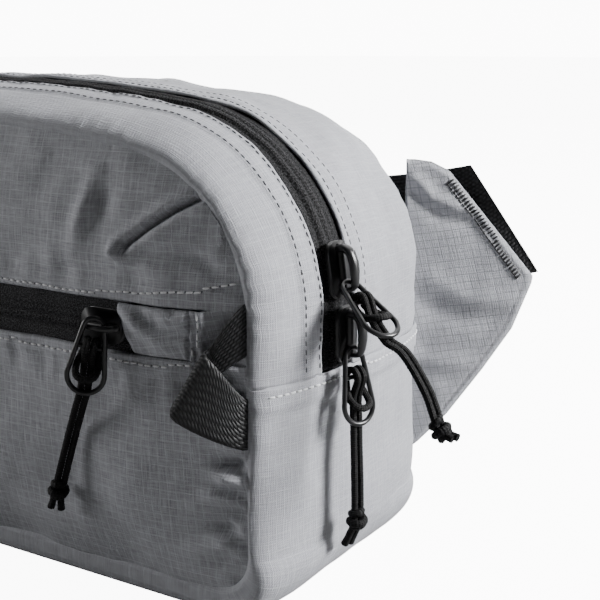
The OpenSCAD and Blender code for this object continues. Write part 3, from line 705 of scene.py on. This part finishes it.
# ---- webbing: flat bands with rounded selvedges ----
def band(name, top, low, normal, mat, body, thick=1.5, relief=0.12, n=22, closed=False, uv_along=1.0, **more):
    """A band between two edge lines; normal is the way its face looks at each station."""
    top, low, normal = (np.asarray(a, float) for a in (top, low, normal))
    v = np.linspace(0, 1, n)
    width = np.linalg.norm(top - low, axis=1)
    half = thick / 2 * (1 - np.abs(2 * v - 1) ** 6) ** (1 / 4) + 0.05
    mid = top[:, None] + (low - top)[:, None] * v[:, None]
    along = np.concatenate([[0], np.cumsum(np.linalg.norm(np.diff((top + low) / 2, axis=0), axis=1))])
    rib = relief * np.sin(v[None, :] * width[:, None] / 1.35 * np.pi) ** 2
    face = mid + normal[:, None] * (half[None, :] + rib)[..., None]
    back = mid - normal[:, None] * (half[None, :] + rib)[..., None]
    P = np.concatenate([face, back[:, ::-1]], 1)
    U = np.broadcast_to(along[:, None] * uv_along, (len(top), 2 * n))
    V = np.concatenate([v, v[::-1] + 2], 0)[None, :] * width[:, None]
    faces = quads(len(top), 2 * n, wrap=True).tolist()
    if closed:
        m = len(top)
        faces += [[(m - 1) * 2 * n + a[0] % (2 * n), a[1] % (2 * n), a[2] % (2 * n), (m - 1) * 2 * n + a[3] % (2 * n)] for a in quads(2, 2 * n, wrap=True)]
    else:
        faces += [list(range(2 * n))[::-1], [(len(top) - 1) * 2 * n + j for j in range(2 * n)]]
    return mesh(name, P.reshape(-1, 3), faces, mat, body, np.stack([U, V], -1).reshape(-1, 2), **more)


def across(a, b, t):
    return np.asarray(a, float) + (np.asarray(b, float) - np.asarray(a, float)) * np.asarray(t, float)[:, None]


# Side loops, folded to a point, in a plane that stands off the front
def loop_strip(side, name, node):
    tilt = math.radians(24)
    out = np.array([math.cos(tilt), math.sin(tilt), 0])
    face = np.array([math.sin(tilt), -math.cos(tilt), 0])

    def at(w, z, lift):
        return (np.array([131.5, -54.9, 0]) + out * w + np.array([0, 0, z]) + face * lift) * [side, 1, 1]

    # Stations from the upper end to the lower one: [outer or upper edge, inner or lower edge, lift]
    stations = [((0.6, 113.5), (0.6, 95.8), -2.0), ((-3, 110), (-4, 92.6), -0.2), ((-7, 105.2), (-12, 87), 0.9), ((-10, 100.5), (-18, 82), 1.1),
                ((-11.8, 98), (-23.3, 78), 1.6), ((-13.0, 96.8), (-24.7, 76.2), 2.7), ((-11.6, 95.2), (-23.6, 74.2), 3.7), ((-8, 91), (-18, 70.8), 3.5),
                ((-4, 85.5), (-10, 67), 2.4), ((-1.5, 82.2), (-4, 64.6), 0.6), ((0.6, 80.2), (0.6, 62.4), -2.2)]
    a = smooth_line([(*s[0], s[2]) for s in stations], 8)
    b = smooth_line([(*s[1], s[2]) for s in stations], 8)
    top = np.array([at(*p) for p in a])
    low = np.array([at(*p) for p in b])
    t = np.gradient((top + low) / 2, axis=0)
    n = np.cross(t, low - top)
    n /= np.linalg.norm(n, axis=1)[:, None]
    n *= side
    return band(name, top, low, n, M_WEBBING, "pack", thick=1.3, relief=0.10, n=26, replaces=(node,), slot="webbing")


loop_right = loop_strip(1, "loop_right", "webbing_loop_right")
loop_left = loop_strip(-1, "loop_left", "webbing_loop_left")


# ---- belt wings: quilted fabric in a plane that sweeps back ----
WING = [(0, 147), (8, 146), (15, 142.5), (49, 101), (48.5, 98), (41.5, 80), (30, 63), (16.5, 45), (5, 33.5), (0, 30)]
SWEEP = math.radians(35)


def wing_at(w, z, off, side=1):
    w, z, off = np.broadcast_arrays(np.asarray(w, float), np.asarray(z, float), np.asarray(off, float))
    return np.stack([side * (131.5 + w * math.cos(SWEEP) + off * math.sin(SWEEP)), 55.6 + w * math.sin(SWEEP) - off * math.cos(SWEEP), z], -1)


def wing_width(z):
    return np.interp(z, [30, 33.5, 45, 63, 80, 98, 101, 142.5, 146, 147], [0.5, 5, 16.5, 30, 41.5, 48.5, 49, 15, 8, 1])


def wing_soft(w, z, side):
    folds = (1.6 * bump(to_line(w, z, [(1, 141), (8, 132), (22, 128)])[0], 3.0) - 1.3 * bump(to_line(w, z, [(1, 134), (12, 124), (24, 123)])[0], 3.0)
             + 1.0 * bump(to_line(w, z, [(10, 100), (24, 92), (42, 92)])[0], 4.0) - 1.1 * bump(to_line(w, z, [(4, 92), (22, 84), (40, 85)])[0], 4.0)
             + 0.9 * bump(to_line(w, z, [(2, 70), (14, 66), (28, 66)])[0], 3.5) + 0.7 * bump(to_line(w, z, [(0, 52), (12, 56)])[0], 3.0))
    return folds * side + 0.3 * waves(w, z, 32, 81) + 0.1 * waves(w, z, 11, 82)


def wing(side, name, node):
    z = np.concatenate([np.linspace(30.2, 34, 6), np.linspace(35, 146, 110), [146.5, 146.9]])
    k = np.linspace(0, 1, 44)
    Z, K = np.meshgrid(z, k, indexing="ij")
    W = wing_width(Z) * K - 1.5 * (1 - K)
    edge = to_line(W, Z, WING)[0]
    thick = 0.35 + 1.25 * ease(edge / 2.2) + 0.5 * ease((edge - 5) / 12)
    soft = wing_soft(W, Z, 1) * ease(edge / 9)
    stitched = -0.35 * bump(edge - 3.2, 0.8) * (W > 14)
    face = wing_at(W, Z, thick + soft + stitched, side)
    back = wing_at(W, Z, -thick + soft, side)
    P = np.concatenate([face, back[:, ::-1]], 1)
    uv = np.concatenate([np.stack([W + 0.25 * Z, Z - 0.1 * W], -1)] * 2, 1)
    uv[:, len(k):] = uv[:, len(k):][:, ::-1]
    faces = quads(len(z), 2 * len(k), wrap=True, flip=side < 0).tolist()
    m, n = len(z), 2 * len(k)
    faces += [list(range(n))[::side * -1], [(m - 1) * n + j for j in range(n)][::side]]
    return mesh(name, P.reshape(-1, 3), faces, M_WING, "pack", uv.reshape(-1, 2), replaces=(node,), slot="ripstop")


wing_cloth = wing(1, "wing_right_cloth", "wing_right")
for piece in (wing_cloth, wing(-1, "wing_left_cloth", "wing_left")):
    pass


# ---- the belt ----
BELT_Y, TURN_R = 73.5, 2.1
FAR_Y = BELT_Y + 2 * TURN_R


def turn(x, y0, y1, side, n=14):
    a = np.radians(np.linspace(-90, 90, n))
    r = (y1 - y0) / 2
    return [(x + side * r * np.cos(t), (y0 + y1) / 2 + r * np.sin(t)) for t in a]


def plan_band(name, plan, mat, body, z0=86.0, z1=134.0, thick=1.5, side=1, **more):
    """A band standing on edge along points in plan."""
    p = resample(plan, 0.7)
    d = np.gradient(p, axis=0)
    d /= np.linalg.norm(d, axis=1)[:, None]
    n = np.stack([-d[:, 1] * side, d[:, 0], 0 * d[:, 0]], 1)
    top = np.stack([side * p[:, 0], p[:, 1], 0 * p[:, 0] + z1], 1)
    low = np.stack([side * p[:, 0], p[:, 1], 0 * p[:, 0] + z0], 1)
    return band(name, top, low, n, mat, body, thick=thick, n=40, **more)


def wing_line(x):
    return 55.6 + (x - 131.5) * math.tan(SWEEP) + 2.7 / math.cos(SWEEP)


def belt(side, bar_x, tail, name, node, body):
    """From behind the buckle's bar, round it, across the back and out to the fold behind the wing."""
    plan = [(bar_x + tail, FAR_Y)] + turn(bar_x, BELT_Y, FAR_Y, -1)[::-1] + [(58, BELT_Y), (62, BELT_Y)]
    p = resample(plan, 0.7)
    z_top, z_low = 0 * p[:, 0] + 134, 0 * p[:, 0] + 86
    k = np.linspace(0, 1, 90)[1:]
    xt, xl = 62 + (148.3 - 62) * k, 62 + (172.3 - 62) * k

    def mid(x):
        return 110 + 0.00134 * np.maximum(0, x - 60) ** 2

    zt = mid(xt) + 24 + (144 - mid(148.3) - 24) * k
    zl = mid(xl) - 24 + (102 - mid(172.3) + 24) * k
    wt, wl = np.maximum(BELT_Y, wing_line(xt)), np.maximum(BELT_Y, wing_line(xl))
    top = np.concatenate([np.stack([p[:, 0], p[:, 1], z_top], 1), np.stack([xt, wt, zt], 1)])
    low = np.concatenate([np.stack([p[:, 0], p[:, 1], z_low], 1), np.stack([xl, wl, zl], 1)])
    top, low = top * [side, 1, 1], low * [side, 1, 1]
    t = np.gradient((top + low) / 2, axis=0)
    n = np.cross(t, low - top)
    n /= np.linalg.norm(n, axis=1)[:, None]
    return band(name, top, low, n * side, M_WEBBING, body, thick=1.5, n=40, replaces=(node,), slot="webbing")


belt(1, 33, 24, "belt_right_webbing", "belt_right", "pack")
belt_left = belt(-1, 24, 16, "belt_left_webbing", "belt_left", None)
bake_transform(belt_left)

rows_y = [FAR_Y + 2.3 * k for k in range(4)]
tail_plan = ([(40.5, rows_y[0]), (116, rows_y[0])] + turn(116, rows_y[0], rows_y[1], 1) + turn(54, rows_y[1], rows_y[2], -1)
             + turn(116, rows_y[2], rows_y[3], 1) + [(52, rows_y[3])])
plan_band("belt_tail_webbing", tail_plan, M_WEBBING, "buckle_plug", side=-1, replaces=("belt_tail",), slot="webbing")

# The keeper is a ring of elastic round all the layers
y0, y1, z0, z1 = BELT_Y - 1.9, FAR_Y + 3 * 2.3 + 2.1, 83.2, 136.8
corner = []
for cy, cz, a0 in ((y1 - 1.5, z1 - 1.5, 0), (y0 + 1.5, z1 - 1.5, 90), (y0 + 1.5, z0 + 1.5, 180), (y1 - 1.5, z0 + 1.5, 270)):
    corner += [(cy + 1.5 * math.cos(math.radians(a)), cz + 1.5 * math.sin(math.radians(a))) for a in np.linspace(a0, a0 + 90, 7)]
ring_line = resample(corner + corner[:1], 0.7)[:-1]
d = np.roll(ring_line, -1, 0) - np.roll(ring_line, 1, 0)
d /= np.linalg.norm(d, axis=1)[:, None]
edge_a = np.stack([0 * d[:, 0] - 64, ring_line[:, 0], ring_line[:, 1]], 1)
edge_b = edge_a - [12, 0, 0]
band("belt_keeper_elastic", edge_b, edge_a, np.stack([0 * d[:, 0], d[:, 1], -d[:, 0]], 1), M_ELASTIC, "buckle_plug", thick=0.9, n=14, closed=True,
     replaces=("belt_keeper",), slot="elastic")


# ---- hardware ----
def turned(yaw, lift=0.0, lean=0.0):
    y, l, r = (math.radians(a) for a in (yaw, -lift, -lean))
    rz = np.array([[math.cos(y), -math.sin(y), 0], [math.sin(y), math.cos(y), 0], [0, 0, 1]])
    ry = np.array([[math.cos(l), 0, math.sin(l)], [0, 1, 0], [-math.sin(l), 0, math.cos(l)]])
    rx = np.array([[1, 0, 0], [0, math.cos(r), -math.sin(r)], [0, math.sin(r), math.cos(r)]])
    return rz @ ry @ rx


def slab(name, shape, thick, edge, place, mat, body, **more):
    """A plate with rounded edges; shape is its outline, thick its height, place maps local points."""
    p = resample(np.asarray(list(shape) + [shape[0]], float), 0.5)[:-1]
    d = np.roll(p, -1, 0) - np.roll(p, 1, 0)
    n = np.stack([d[:, 1], -d[:, 0]], 1) / np.linalg.norm(d, axis=1)[:, None]
    rings = []
    for a in np.linspace(0, 90, 6):
        rings.append((edge * (1 - math.sin(math.radians(a))), edge * (1 - math.cos(math.radians(a)))))
    levels = rings + [(i, thick - h) for i, h in rings[::-1]]
    P = np.array([[(*(q - n[j] * i), h) for j, q in enumerate(p)] for i, h in levels])
    m, k = P.shape[:2]
    faces = quads(m, k, wrap=True, flip=True).tolist() + [list(range(k))[::-1], [(m - 1) * k + j for j in range(k)]]
    return mesh(name, place(P.reshape(-1, 3)), faces, mat, body, **more)


def rounded_box(w, h, r, n=6):
    out = []
    for cx, cy, a0 in ((w / 2 - r, h / 2 - r, 0), (-w / 2 + r, h / 2 - r, 90), (-w / 2 + r, -h / 2 + r, 180), (w / 2 - r, -h / 2 + r, 270)):
        out += [(cx + r * math.cos(math.radians(a)), cy + r * math.sin(math.radians(a))) for a in np.linspace(a0, a0 + 90, n)]
    return out


def slider(name, node, body, place, lo, hi, width, plate, crown, thick):
    """Local X points away from the zip and Z along it. The loop over the plate is one smooth bean."""
    mid = (lo + hi) / 2
    shape = [(v, u) for u, v in rounded_box(plate, hi - lo + 2, 3.6)]
    base = slab(name, shape, 1.6, 0.7, lambda q: place(np.stack([q[:, 2] + 0.5, q[:, 1], q[:, 0] + mid], 1)), M_SLIDER, body, replaces=(node,), slot="slider")
    x1 = crown
    line = smooth_line([(1.6, 0, lo + 0.8), (x1 * 0.55, 0, lo + 0.7), (x1 - 1.6, 0, lo + 1.1), (x1 - 0.5, 0, lo + 2.5), (x1, 0, mid - 1.5), (x1 - 0.05, 0, mid + 2),
                        (x1 - 0.9, 0, hi - 2.6), (x1 - 2.3, 0, hi - 1.2), (x1 * 0.45, 0, hi - 0.9), (1.6, 0, hi - 0.9)], 8)
    k = np.linspace(0, 1, len(line))
    fat = width / 2 * (0.78 + 0.62 * ease((k - 0.12) / 0.4))
    loop_part = tube(name + "_bail", line, fat, M_SLIDER, body, sides=24, flat=thick / width, first=(0, 1, 0), slot="slider")
    P = np.array([v.co for v in loop_part.data.vertices]) * 1000
    P = place(P)
    loop_part.data.vertices.foreach_set("co", (P * 0.001).ravel())
    cheek = [(1.9, lo + 0.4), (2.7, lo + 1.2), (2.9, mid), (2.7, hi - 1.2), (1.9, hi - 0.4)]
    ridge = tube(name + "_ridge", smooth_line([(c[0] - 0.3, 0, c[1]) for c in cheek], 5), 1.5, M_SLIDER, body, sides=14, first=(0, 1, 0), slot="slider")
    P = place(np.array([v.co for v in ridge.data.vertices]) * 1000)
    ridge.data.vertices.foreach_set("co", (P * 0.001).ravel())
    return base


CHAIN_X = 132 + 12.5 * math.sqrt(1 - (19.5 / 53.5) ** 2) + 0.2


def at_upper(p):
    a = math.radians(8)
    r = CHAIN_X - 77 + p[:, 0]
    return np.stack([77 + r * math.cos(a) - p[:, 2] * math.sin(a), p[:, 1] - 19.5, 105 + r * math.sin(a) + p[:, 2] * math.cos(a)], 1)


def at_lower(p):
    return np.stack([CHAIN_X + 2 + p[:, 0], p[:, 1] - 19.5, p[:, 2] + 93], 1)


def at_pocket(p):
    return np.stack([80 + p[:, 2], -62.7 - p[:, 0], 100.5 + p[:, 1]], 1)


slider("slider_upper_body", "main_slider_upper", "slider_upper", at_upper, -3.6, 12, 3.0, 10.5, 7.5, 2.1)
slider("slider_lower_body", "main_slider_lower", "slider_lower", at_lower, -3.6, 12, 3.0, 10.5, 7.5, 2.1)
slider("slider_pocket_body", "pocket_slider", "slider_pocket", at_pocket, -7, 7, 1.5, 10.5, 6.0, 1.2)

WIRE = 0.9
TEAR_A = math.asin(2.6 / (19.9 - 3.6))


def tear():
    a = np.concatenate([np.linspace(TEAR_A, math.pi - TEAR_A, 28), np.linspace(math.pi - TEAR_A, 2 * math.pi + TEAR_A, 44)])
    r = np.concatenate([np.full(28, 3.6), np.full(44, 6.2)])
    u = np.concatenate([np.full(28, 3.6), np.full(44, 19.9)])
    return np.stack([0 * a, r * np.cos(a), r * np.sin(a) - u], 1)


HITCH = [(0, 3.2, 20.5), (2.9, 2.2, 19.5), (3.6, -0.4, 16.5), (2.3, -2.4, 11), (1.7, -1.7, 8.3), (1.4, 0, 7.5), (1.3, 1.7, 8.3), (1.2, 2.4, 10.8),
         (1.2, -1, 17), (1.2, -2.3, 26)]


def pull(which, node, body, spot, angles, legs):
    """A ring of wire with a cross bar, a cord hitched on the bar, and the knot that joins its two ends."""
    spot = np.array(spot)
    R = turned(*angles)

    def place(p):
        return np.asarray(p) @ R.T + spot

    line = place(tear())
    n = len(line)
    t = np.roll(line, -1, 0) - np.roll(line, 1, 0)
    t /= np.linalg.norm(t, axis=1)[:, None]
    side = np.broadcast_to(R @ [1.0, 0, 0], t.shape)
    b = np.cross(t, side)
    th = np.linspace(0, 2 * np.pi, 18, endpoint=False)
    P = line[:, None] + WIRE * (0.97 * np.cos(th)[None, :, None] * side[:, None] + np.sin(th)[None, :, None] * b[:, None])
    faces = quads(n, 18, wrap=True)
    last = quads(2, 18, wrap=True)
    closing = [[(n - 1) * 18 + f[0] % 18, f[1] % 18, f[2] % 18, (n - 1) * 18 + f[3] % 18] for f in last]
    mesh(f"ring_{which}_wire", P.reshape(-1, 3), faces.tolist() + closing, M_WIRE, body, replaces=(f"ring_{which}",), slot="ring_wire")
    bar = place([(0, y, -10) for y in np.linspace(-4.4, 4.4, 12)])
    tube(f"ring_{which}_bar", bar, 0.8, M_WIRE, body, sides=14, slot="ring_wire")

    def local(p):
        return (p[1], p[0], -p[2])

    left = [(c - h, o, d) for c, h, o, d in legs][::-1]
    right = [(c + h, o, d) for c, h, o, d in legs]
    route = left + [(-a, o, d) for a, o, d in HITCH[:0:-1]] + HITCH + right
    pts = place([local(p) for p in route])
    line = resample(smooth_line(pts, 10), 0.32)

    def braid(along, th):
        return 0.10 * np.sin(2 * np.pi * along / 2.3 + 3 * th) * np.sin(2 * np.pi * along / 2.3 - 3 * th)

    radius = np.full(len(line), 1.17)
    for i in range(8):
        radius[i] = radius[-1 - i] = 1.17 + 0.15 * (1 - i / 8)
    cord = tube(f"cord_{which}_braid", line, radius, M_CORD, body, sides=22, relief=braid, replaces=(f"cord_{which}",), slot="cord")

    # Barrel knot: three turns round both ends
    c0, h0, o0, d0 = legs[2]
    centre = place([local((c0, o0, d0))])[0]
    up = place([local((legs[1][0], legs[1][2], legs[1][3]))])[0]
    down = place([local((legs[3][0], legs[3][2], legs[3][3]))])[0]
    axis = (up - down) / np.linalg.norm(up - down)
    e1 = np.cross(axis, [0.3, 1, 0.1])
    e1 /= np.linalg.norm(e1)
    e2 = np.cross(axis, e1)
    k = np.linspace(0, 1, 150)
    ang = 2 * np.pi * (2.55 * k) + 0.6
    r = 2.55 * np.sin(np.pi * np.clip(k, 0.06, 0.94)) ** 0.45
    along = 3.1 * (2 * k - 1) + 0.5 * np.sin(ang * 0.5)
    knot_line = centre + axis * along[:, None] + r[:, None] * (np.cos(ang)[:, None] * e1 + np.sin(ang)[:, None] * e2)
    knot = tube(f"knot_{which}_wraps", knot_line, 1.28, M_CORD, body, sides=18, relief=braid, replaces=(f"knot_{which}",), slot="cord")
    length = float(np.linalg.norm(np.diff(line, axis=0), axis=1).sum())
    return length


LEGS_UPPER = [(3.6, 1.2, -3.4, 32), (7, 1.2, -9.5, 44), (8.7, 1.25, -16.9, 54.3), (9.5, 1.2, -16.4, 57.5), (10.1, 1.2, -15.7, 59.6)]
LEGS_LOWER = [(0, 1.2, -3.4, 34), (0, 1.3, -5.2, 48), (-0.3, 1.25, -7, 60), (-1, 1.2, -9.5, 65), (-1.7, 1.25, -12, 68.8)]
LEGS_POCKET = [(-0.8, 1.2, -4.8, 33), (-2.2, 1.2, -9.6, 46), (-3.8, 1.25, -13.6, 67.5), (-3.8, 1.4, -14.2, 72), (-3.7, 1.9, -14.6, 75)]
turn_x = CHAIN_X - 77 + 3.8
pull("upper", None, "pull_upper", (77 + turn_x * math.cos(math.radians(8)), -19.5, 105 + turn_x * math.sin(math.radians(8))), (-20, 58), LEGS_UPPER)
pull("lower", None, "pull_lower", (CHAIN_X + 5.8, -19.5, 93), (-20, 10), LEGS_LOWER)
pull("pocket", None, "pull_pocket", (80.6, -68.0, 103.8), (-58, 0, 12), LEGS_POCKET)


# ---- stitching ----
def stitches(name, on, line, mat, pitch=3.0, length=2.2, radius=0.26, lift=0.12, across=None, hole_shade=False):
    """Separate stitches along a line, laid on the cloth below it; optionally a dark disc of painted shade at each
    needle hole.
    """
    tree = BVHTree.FromObject(on, bpy.context.evaluated_depsgraph_get()) if not isinstance(on, BVHTree) else on
    line = resample(line, pitch)
    mids = (line[1:] + line[:-1]) / 2
    dirs = line[1:] - line[:-1]
    points, faces = [], []
    th = np.linspace(0, 2 * np.pi, 6, endpoint=False)
    for c, d in zip(mids, dirs):
        hit = tree.find_nearest(Vector(c * 0.001))
        if hit[0] is None:
            continue
        n = np.array(hit[1])
        if n @ (np.array(hit[0]) - [0, 0, 0.085]) < 0:
            n = -n
        d = np.array(across) if across is not None else d
        d = d - (d @ n) * n
        d /= np.linalg.norm(d)
        e = np.cross(n, d)
        base = np.array(hit[0]) * 1000
        first = len(points)
        ks = np.array([-0.5, -0.42, -0.2, 0.2, 0.42, 0.5])
        for k in ks:
            r = radius * (1 - (abs(k) * 2) ** 6) ** 0.5 + 0.03
            q = base + d * k * length + n * (lift - 0.5 * lift * (abs(2 * k)) ** 2 - 0.22 * (abs(2 * k)) ** 6)
            points += [q + r * (math.cos(a) * e + math.sin(a) * n) for a in th]
        f = quads(len(ks), 6, wrap=True) + first
        faces += f.tolist()
    # Painted shade: a small dark disc at each needle hole stands in for the shade in the hole.
    if hole_shade:
        ends = (line[1:-1]).tolist()
        dots, rims = [], []
        for c in ends:
            hit = tree.find_nearest(Vector(np.array(c) * 0.001))
            n = np.array(hit[1])
            if n @ (np.array(hit[0]) - [0, 0, 0.085]) < 0:
                n = -n
            e = np.cross(n, [0.3, 0.5, 0.8])
            e /= np.linalg.norm(e)
            g = np.cross(n, e)
            first = len(dots)
            base = np.array(hit[0]) * 1000 + n * 0.04
            dots += [base + 0.36 * (math.cos(a) * e + math.sin(a) * g) for a in th] + [base + n * 0.05]
            rims += [[first + j, first + (j + 1) % 6, first + 6] for j in range(6)]
        mesh(name + "_hole_shade", dots, rims, M_PAINTED_SHADE_THREAD, "pack")
    return mesh(name, points, faces, mat, "pack")


def evaluated(*objs):
    """One search tree over several finished pieces of cloth."""
    deps = bpy.context.evaluated_depsgraph_get()
    verts, polys = [], []
    for o in objs:
        m = o.evaluated_get(deps).data
        base = len(verts)
        verts += [o.matrix_world @ v.co for v in m.vertices]
        polys += [[base + i for i in p.vertices] for p in m.polygons]
    return BVHTree.FromPolygons(verts, polys)


bpy.context.view_layer.update()
on_front, on_back, on_low = evaluated(strip_front), evaluated(strip_back), evaluated(low_cloth)
ss = np.linspace(-END_S + 2, END_S - 2, 500)
# The gusset rows use the dark thread, whose colour is partly painted shade for the stitches' shadows.
for y, tree, name in ((-30.6, on_front, "stitch_front_a"), (-37.0, on_front, "stitch_front_b"), (-8.4, on_back, "stitch_back_a"), (-2.0, on_back, "stitch_back_b")):
    stitches(name, tree, gusset(ss, y + 0 * ss, 3.5), M_PAINTED_SHADE_THREAD, length=2.0, radius=0.24, lift=0.05)
yy = np.linspace(-52.5, 52.5, 200)
for s0, name in ((END_S + 2.6, "stitch_end_right"), (-END_S - 2.6, "stitch_end_left")):
    stitches(name, on_low, gusset(0 * yy + s0, yy, 3.5), M_THREAD, radius=0.34, length=2.4, hole_shade=True)
on_panels = evaluated(upper_cloth, lower_cloth)
UPPER_ROW = [(-86, 112.2), (-33, 111.4), (0, 111.2), (33, 111.2), (72, 111.2), (89, 112.2), (113, 115.4), (128.6, 118.6)]
LOWER_ROW = [(-128, 91), (-113, 90), (-88, 89.4), (0, 89.4), (88, 89.2), (104, 89.6), (114, 90)]
for rows, name in ((UPPER_ROW, "stitch_pocket_upper"), (LOWER_ROW, "stitch_pocket_lower")):
    row = smooth_line([(x, z) for x, z in rows], 12)
    stitches(name, on_panels, np.stack([row[:, 0], -(56.0 + 9 * puff(row[:, 0], row[:, 1])), row[:, 1]], 1), M_THREAD, radius=0.34, length=2.4, hole_shade=True)
on_garage = evaluated(garage_cloth)
stitches("stitch_garage", on_garage, np.array([(116.0, -65.5, 93.5), (116.2, -65.5, 108)]), M_THREAD, length=2.2, radius=0.32, hole_shade=True)
on_wing = evaluated(wing_cloth)
a, b = wing_at(15.3, 139.4, 3), wing_at(43.8, 100.9, 3)
cross_dir = wing_at(1, 0.74, 0) - wing_at(0, 0, 0)
stitches("bartack_wing", on_wing, across(a, b, np.linspace(0, 1, 60)), M_BLACK_THREAD, pitch=1.5, length=3.0, radius=0.42, lift=0.3, across=cross_dir)
stitches("bartack_wing_edge", on_wing, across(a - cross_dir * 1.2, b - cross_dir * 1.2, np.linspace(0, 1, 60)), M_BLACK_THREAD, pitch=2.0, length=1.9, radius=0.3, lift=0.25)


# ---- pieces that keep their CAD shape ----
def dress(node, mat, bevel=0.0):
    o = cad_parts[node]
    o.data.materials.clear()
    o.data.materials.append(mat)
    if bevel:
        m = o.modifiers.new("edges", "BEVEL")
        m.width, m.segments, m.limit_method, m.angle_limit = bevel * 0.001, 3, "ANGLE", math.radians(35)
        m.harden_normals = True


for node, mat in (("pocket_liner", M_LINING), ("seam_binding_front", M_BINDING), ("seam_binding_back", M_BINDING)):
    dress(node, mat)
dress("buckle_socket", M_BUCKLE, 0.6)
dress("buckle_plug", M_BUCKLE, 0.5)

# ---- light and floor ----
def area(name, energy, size, place, aim, rgb=(1, 1, 1)):
    data = bpy.data.lights.new(name, "AREA")
    data.shape, data.size, data.size_y, data.energy, data.color = "RECTANGLE", size[0], size[1], energy, rgb
    o = bpy.data.objects.new(name, data)
    o.location = place
    o.rotation_euler = (Vector(aim) - Vector(place)).to_track_quat("-Z", "Y").to_euler()
    bpy.context.scene.collection.objects.link(o)
    return o


aim = (0.08, 0, 0.09)
area("key", 82, (0.45, 0.45), (1.43, 0.54, 0.74), aim)
area("fill_front", 13, (0.5, 0.5), (-1.25, -0.62, 0.42), aim)
area("top", 8.5, (1.0, 1.0), (0.2, 0.5, 1.2), aim)
world = bpy.data.worlds.new("studio")
world.use_nodes = True
world.node_tree.nodes["Background"].inputs[0].default_value = (1, 1, 1, 1)
world.node_tree.nodes["Background"].inputs[1].default_value = 0.035
bpy.context.scene.world = world

white = Shade("floor", 0.9, specular=0.1)
x, y, z = white.solid()
white.colour((0.93, 0.93, 0.93), white.add(0.99, white.mul(white.noise(white.mul(x, 0.02), white.mul(y, 0.02)), 0.02)))
white.out.inputs["Emission Color"].default_value = (1, 1, 1, 1)
white.out.inputs["Emission Strength"].default_value = 10.0
wall = Shade("backdrop", 0.9, specular=0.1)
wall.out.inputs["Base Color"].default_value = (0.9, 0.9, 0.9, 1)
wall.out.inputs["Emission Color"].default_value = (1, 1, 1, 1)
wall.out.inputs["Emission Strength"].default_value = 11.0
soft = Shade("bounce", 0.9, specular=0.1)
soft.out.inputs["Emission Color"].default_value = (1, 1, 1, 1)
soft.out.inputs["Emission Strength"].default_value = 2.6


def surface(name, points, faces, m):
    me = bpy.data.meshes.new(name)
    me.from_pydata(points, [], faces)
    me.materials.append(m)
    o = bpy.data.objects.new(name, me)
    bpy.context.scene.collection.objects.link(o)
    return o


ground = surface("floor", [(-6, -6, -0.001), (6, -6, -0.001), (6, 6, -0.001), (-6, 6, -0.001)], [(0, 1, 2, 3)], white.m)
ground.visible_diffuse = ground.visible_glossy = ground.visible_transmission = False
# The wall round the floor only shows; the bounce panel behind the pack only lights it
ring = [(5.9 * math.cos(k * math.pi / 24), 5.9 * math.sin(k * math.pi / 24)) for k in range(48)]
show = surface("backdrop", [(x, y, z) for z in (-0.002, 6.0) for x, y in ring], [(k, (k + 1) % 48, 48 + (k + 1) % 48, 48 + k) for k in range(48)], wall.m)
show.visible_diffuse = show.visible_glossy = show.visible_transmission = show.visible_shadow = False
bounce = surface("bounce", [(-1.9, 1.1, -0.01), (1.4, 3.2, -0.01), (1.4, 3.2, 2.2), (-1.9, 1.1, 2.2)], [(0, 1, 2, 3)], soft.m)
bounce.visible_camera = False

# A grey card keeps the floor's glow off the pack; no camera sees it, and it throws no shadow
card = Shade("card", 1.0, specular=0.0)
card.out.inputs["Base Color"].default_value = (0.25, 0.25, 0.25, 1)
o = surface("card", [(-6, -6, -0.0008), (6, -6, -0.0008), (6, 6, -0.0008), (-6, 6, -0.0008)], [(0, 1, 2, 3)], card.m)
o.visible_camera = o.visible_shadow = False
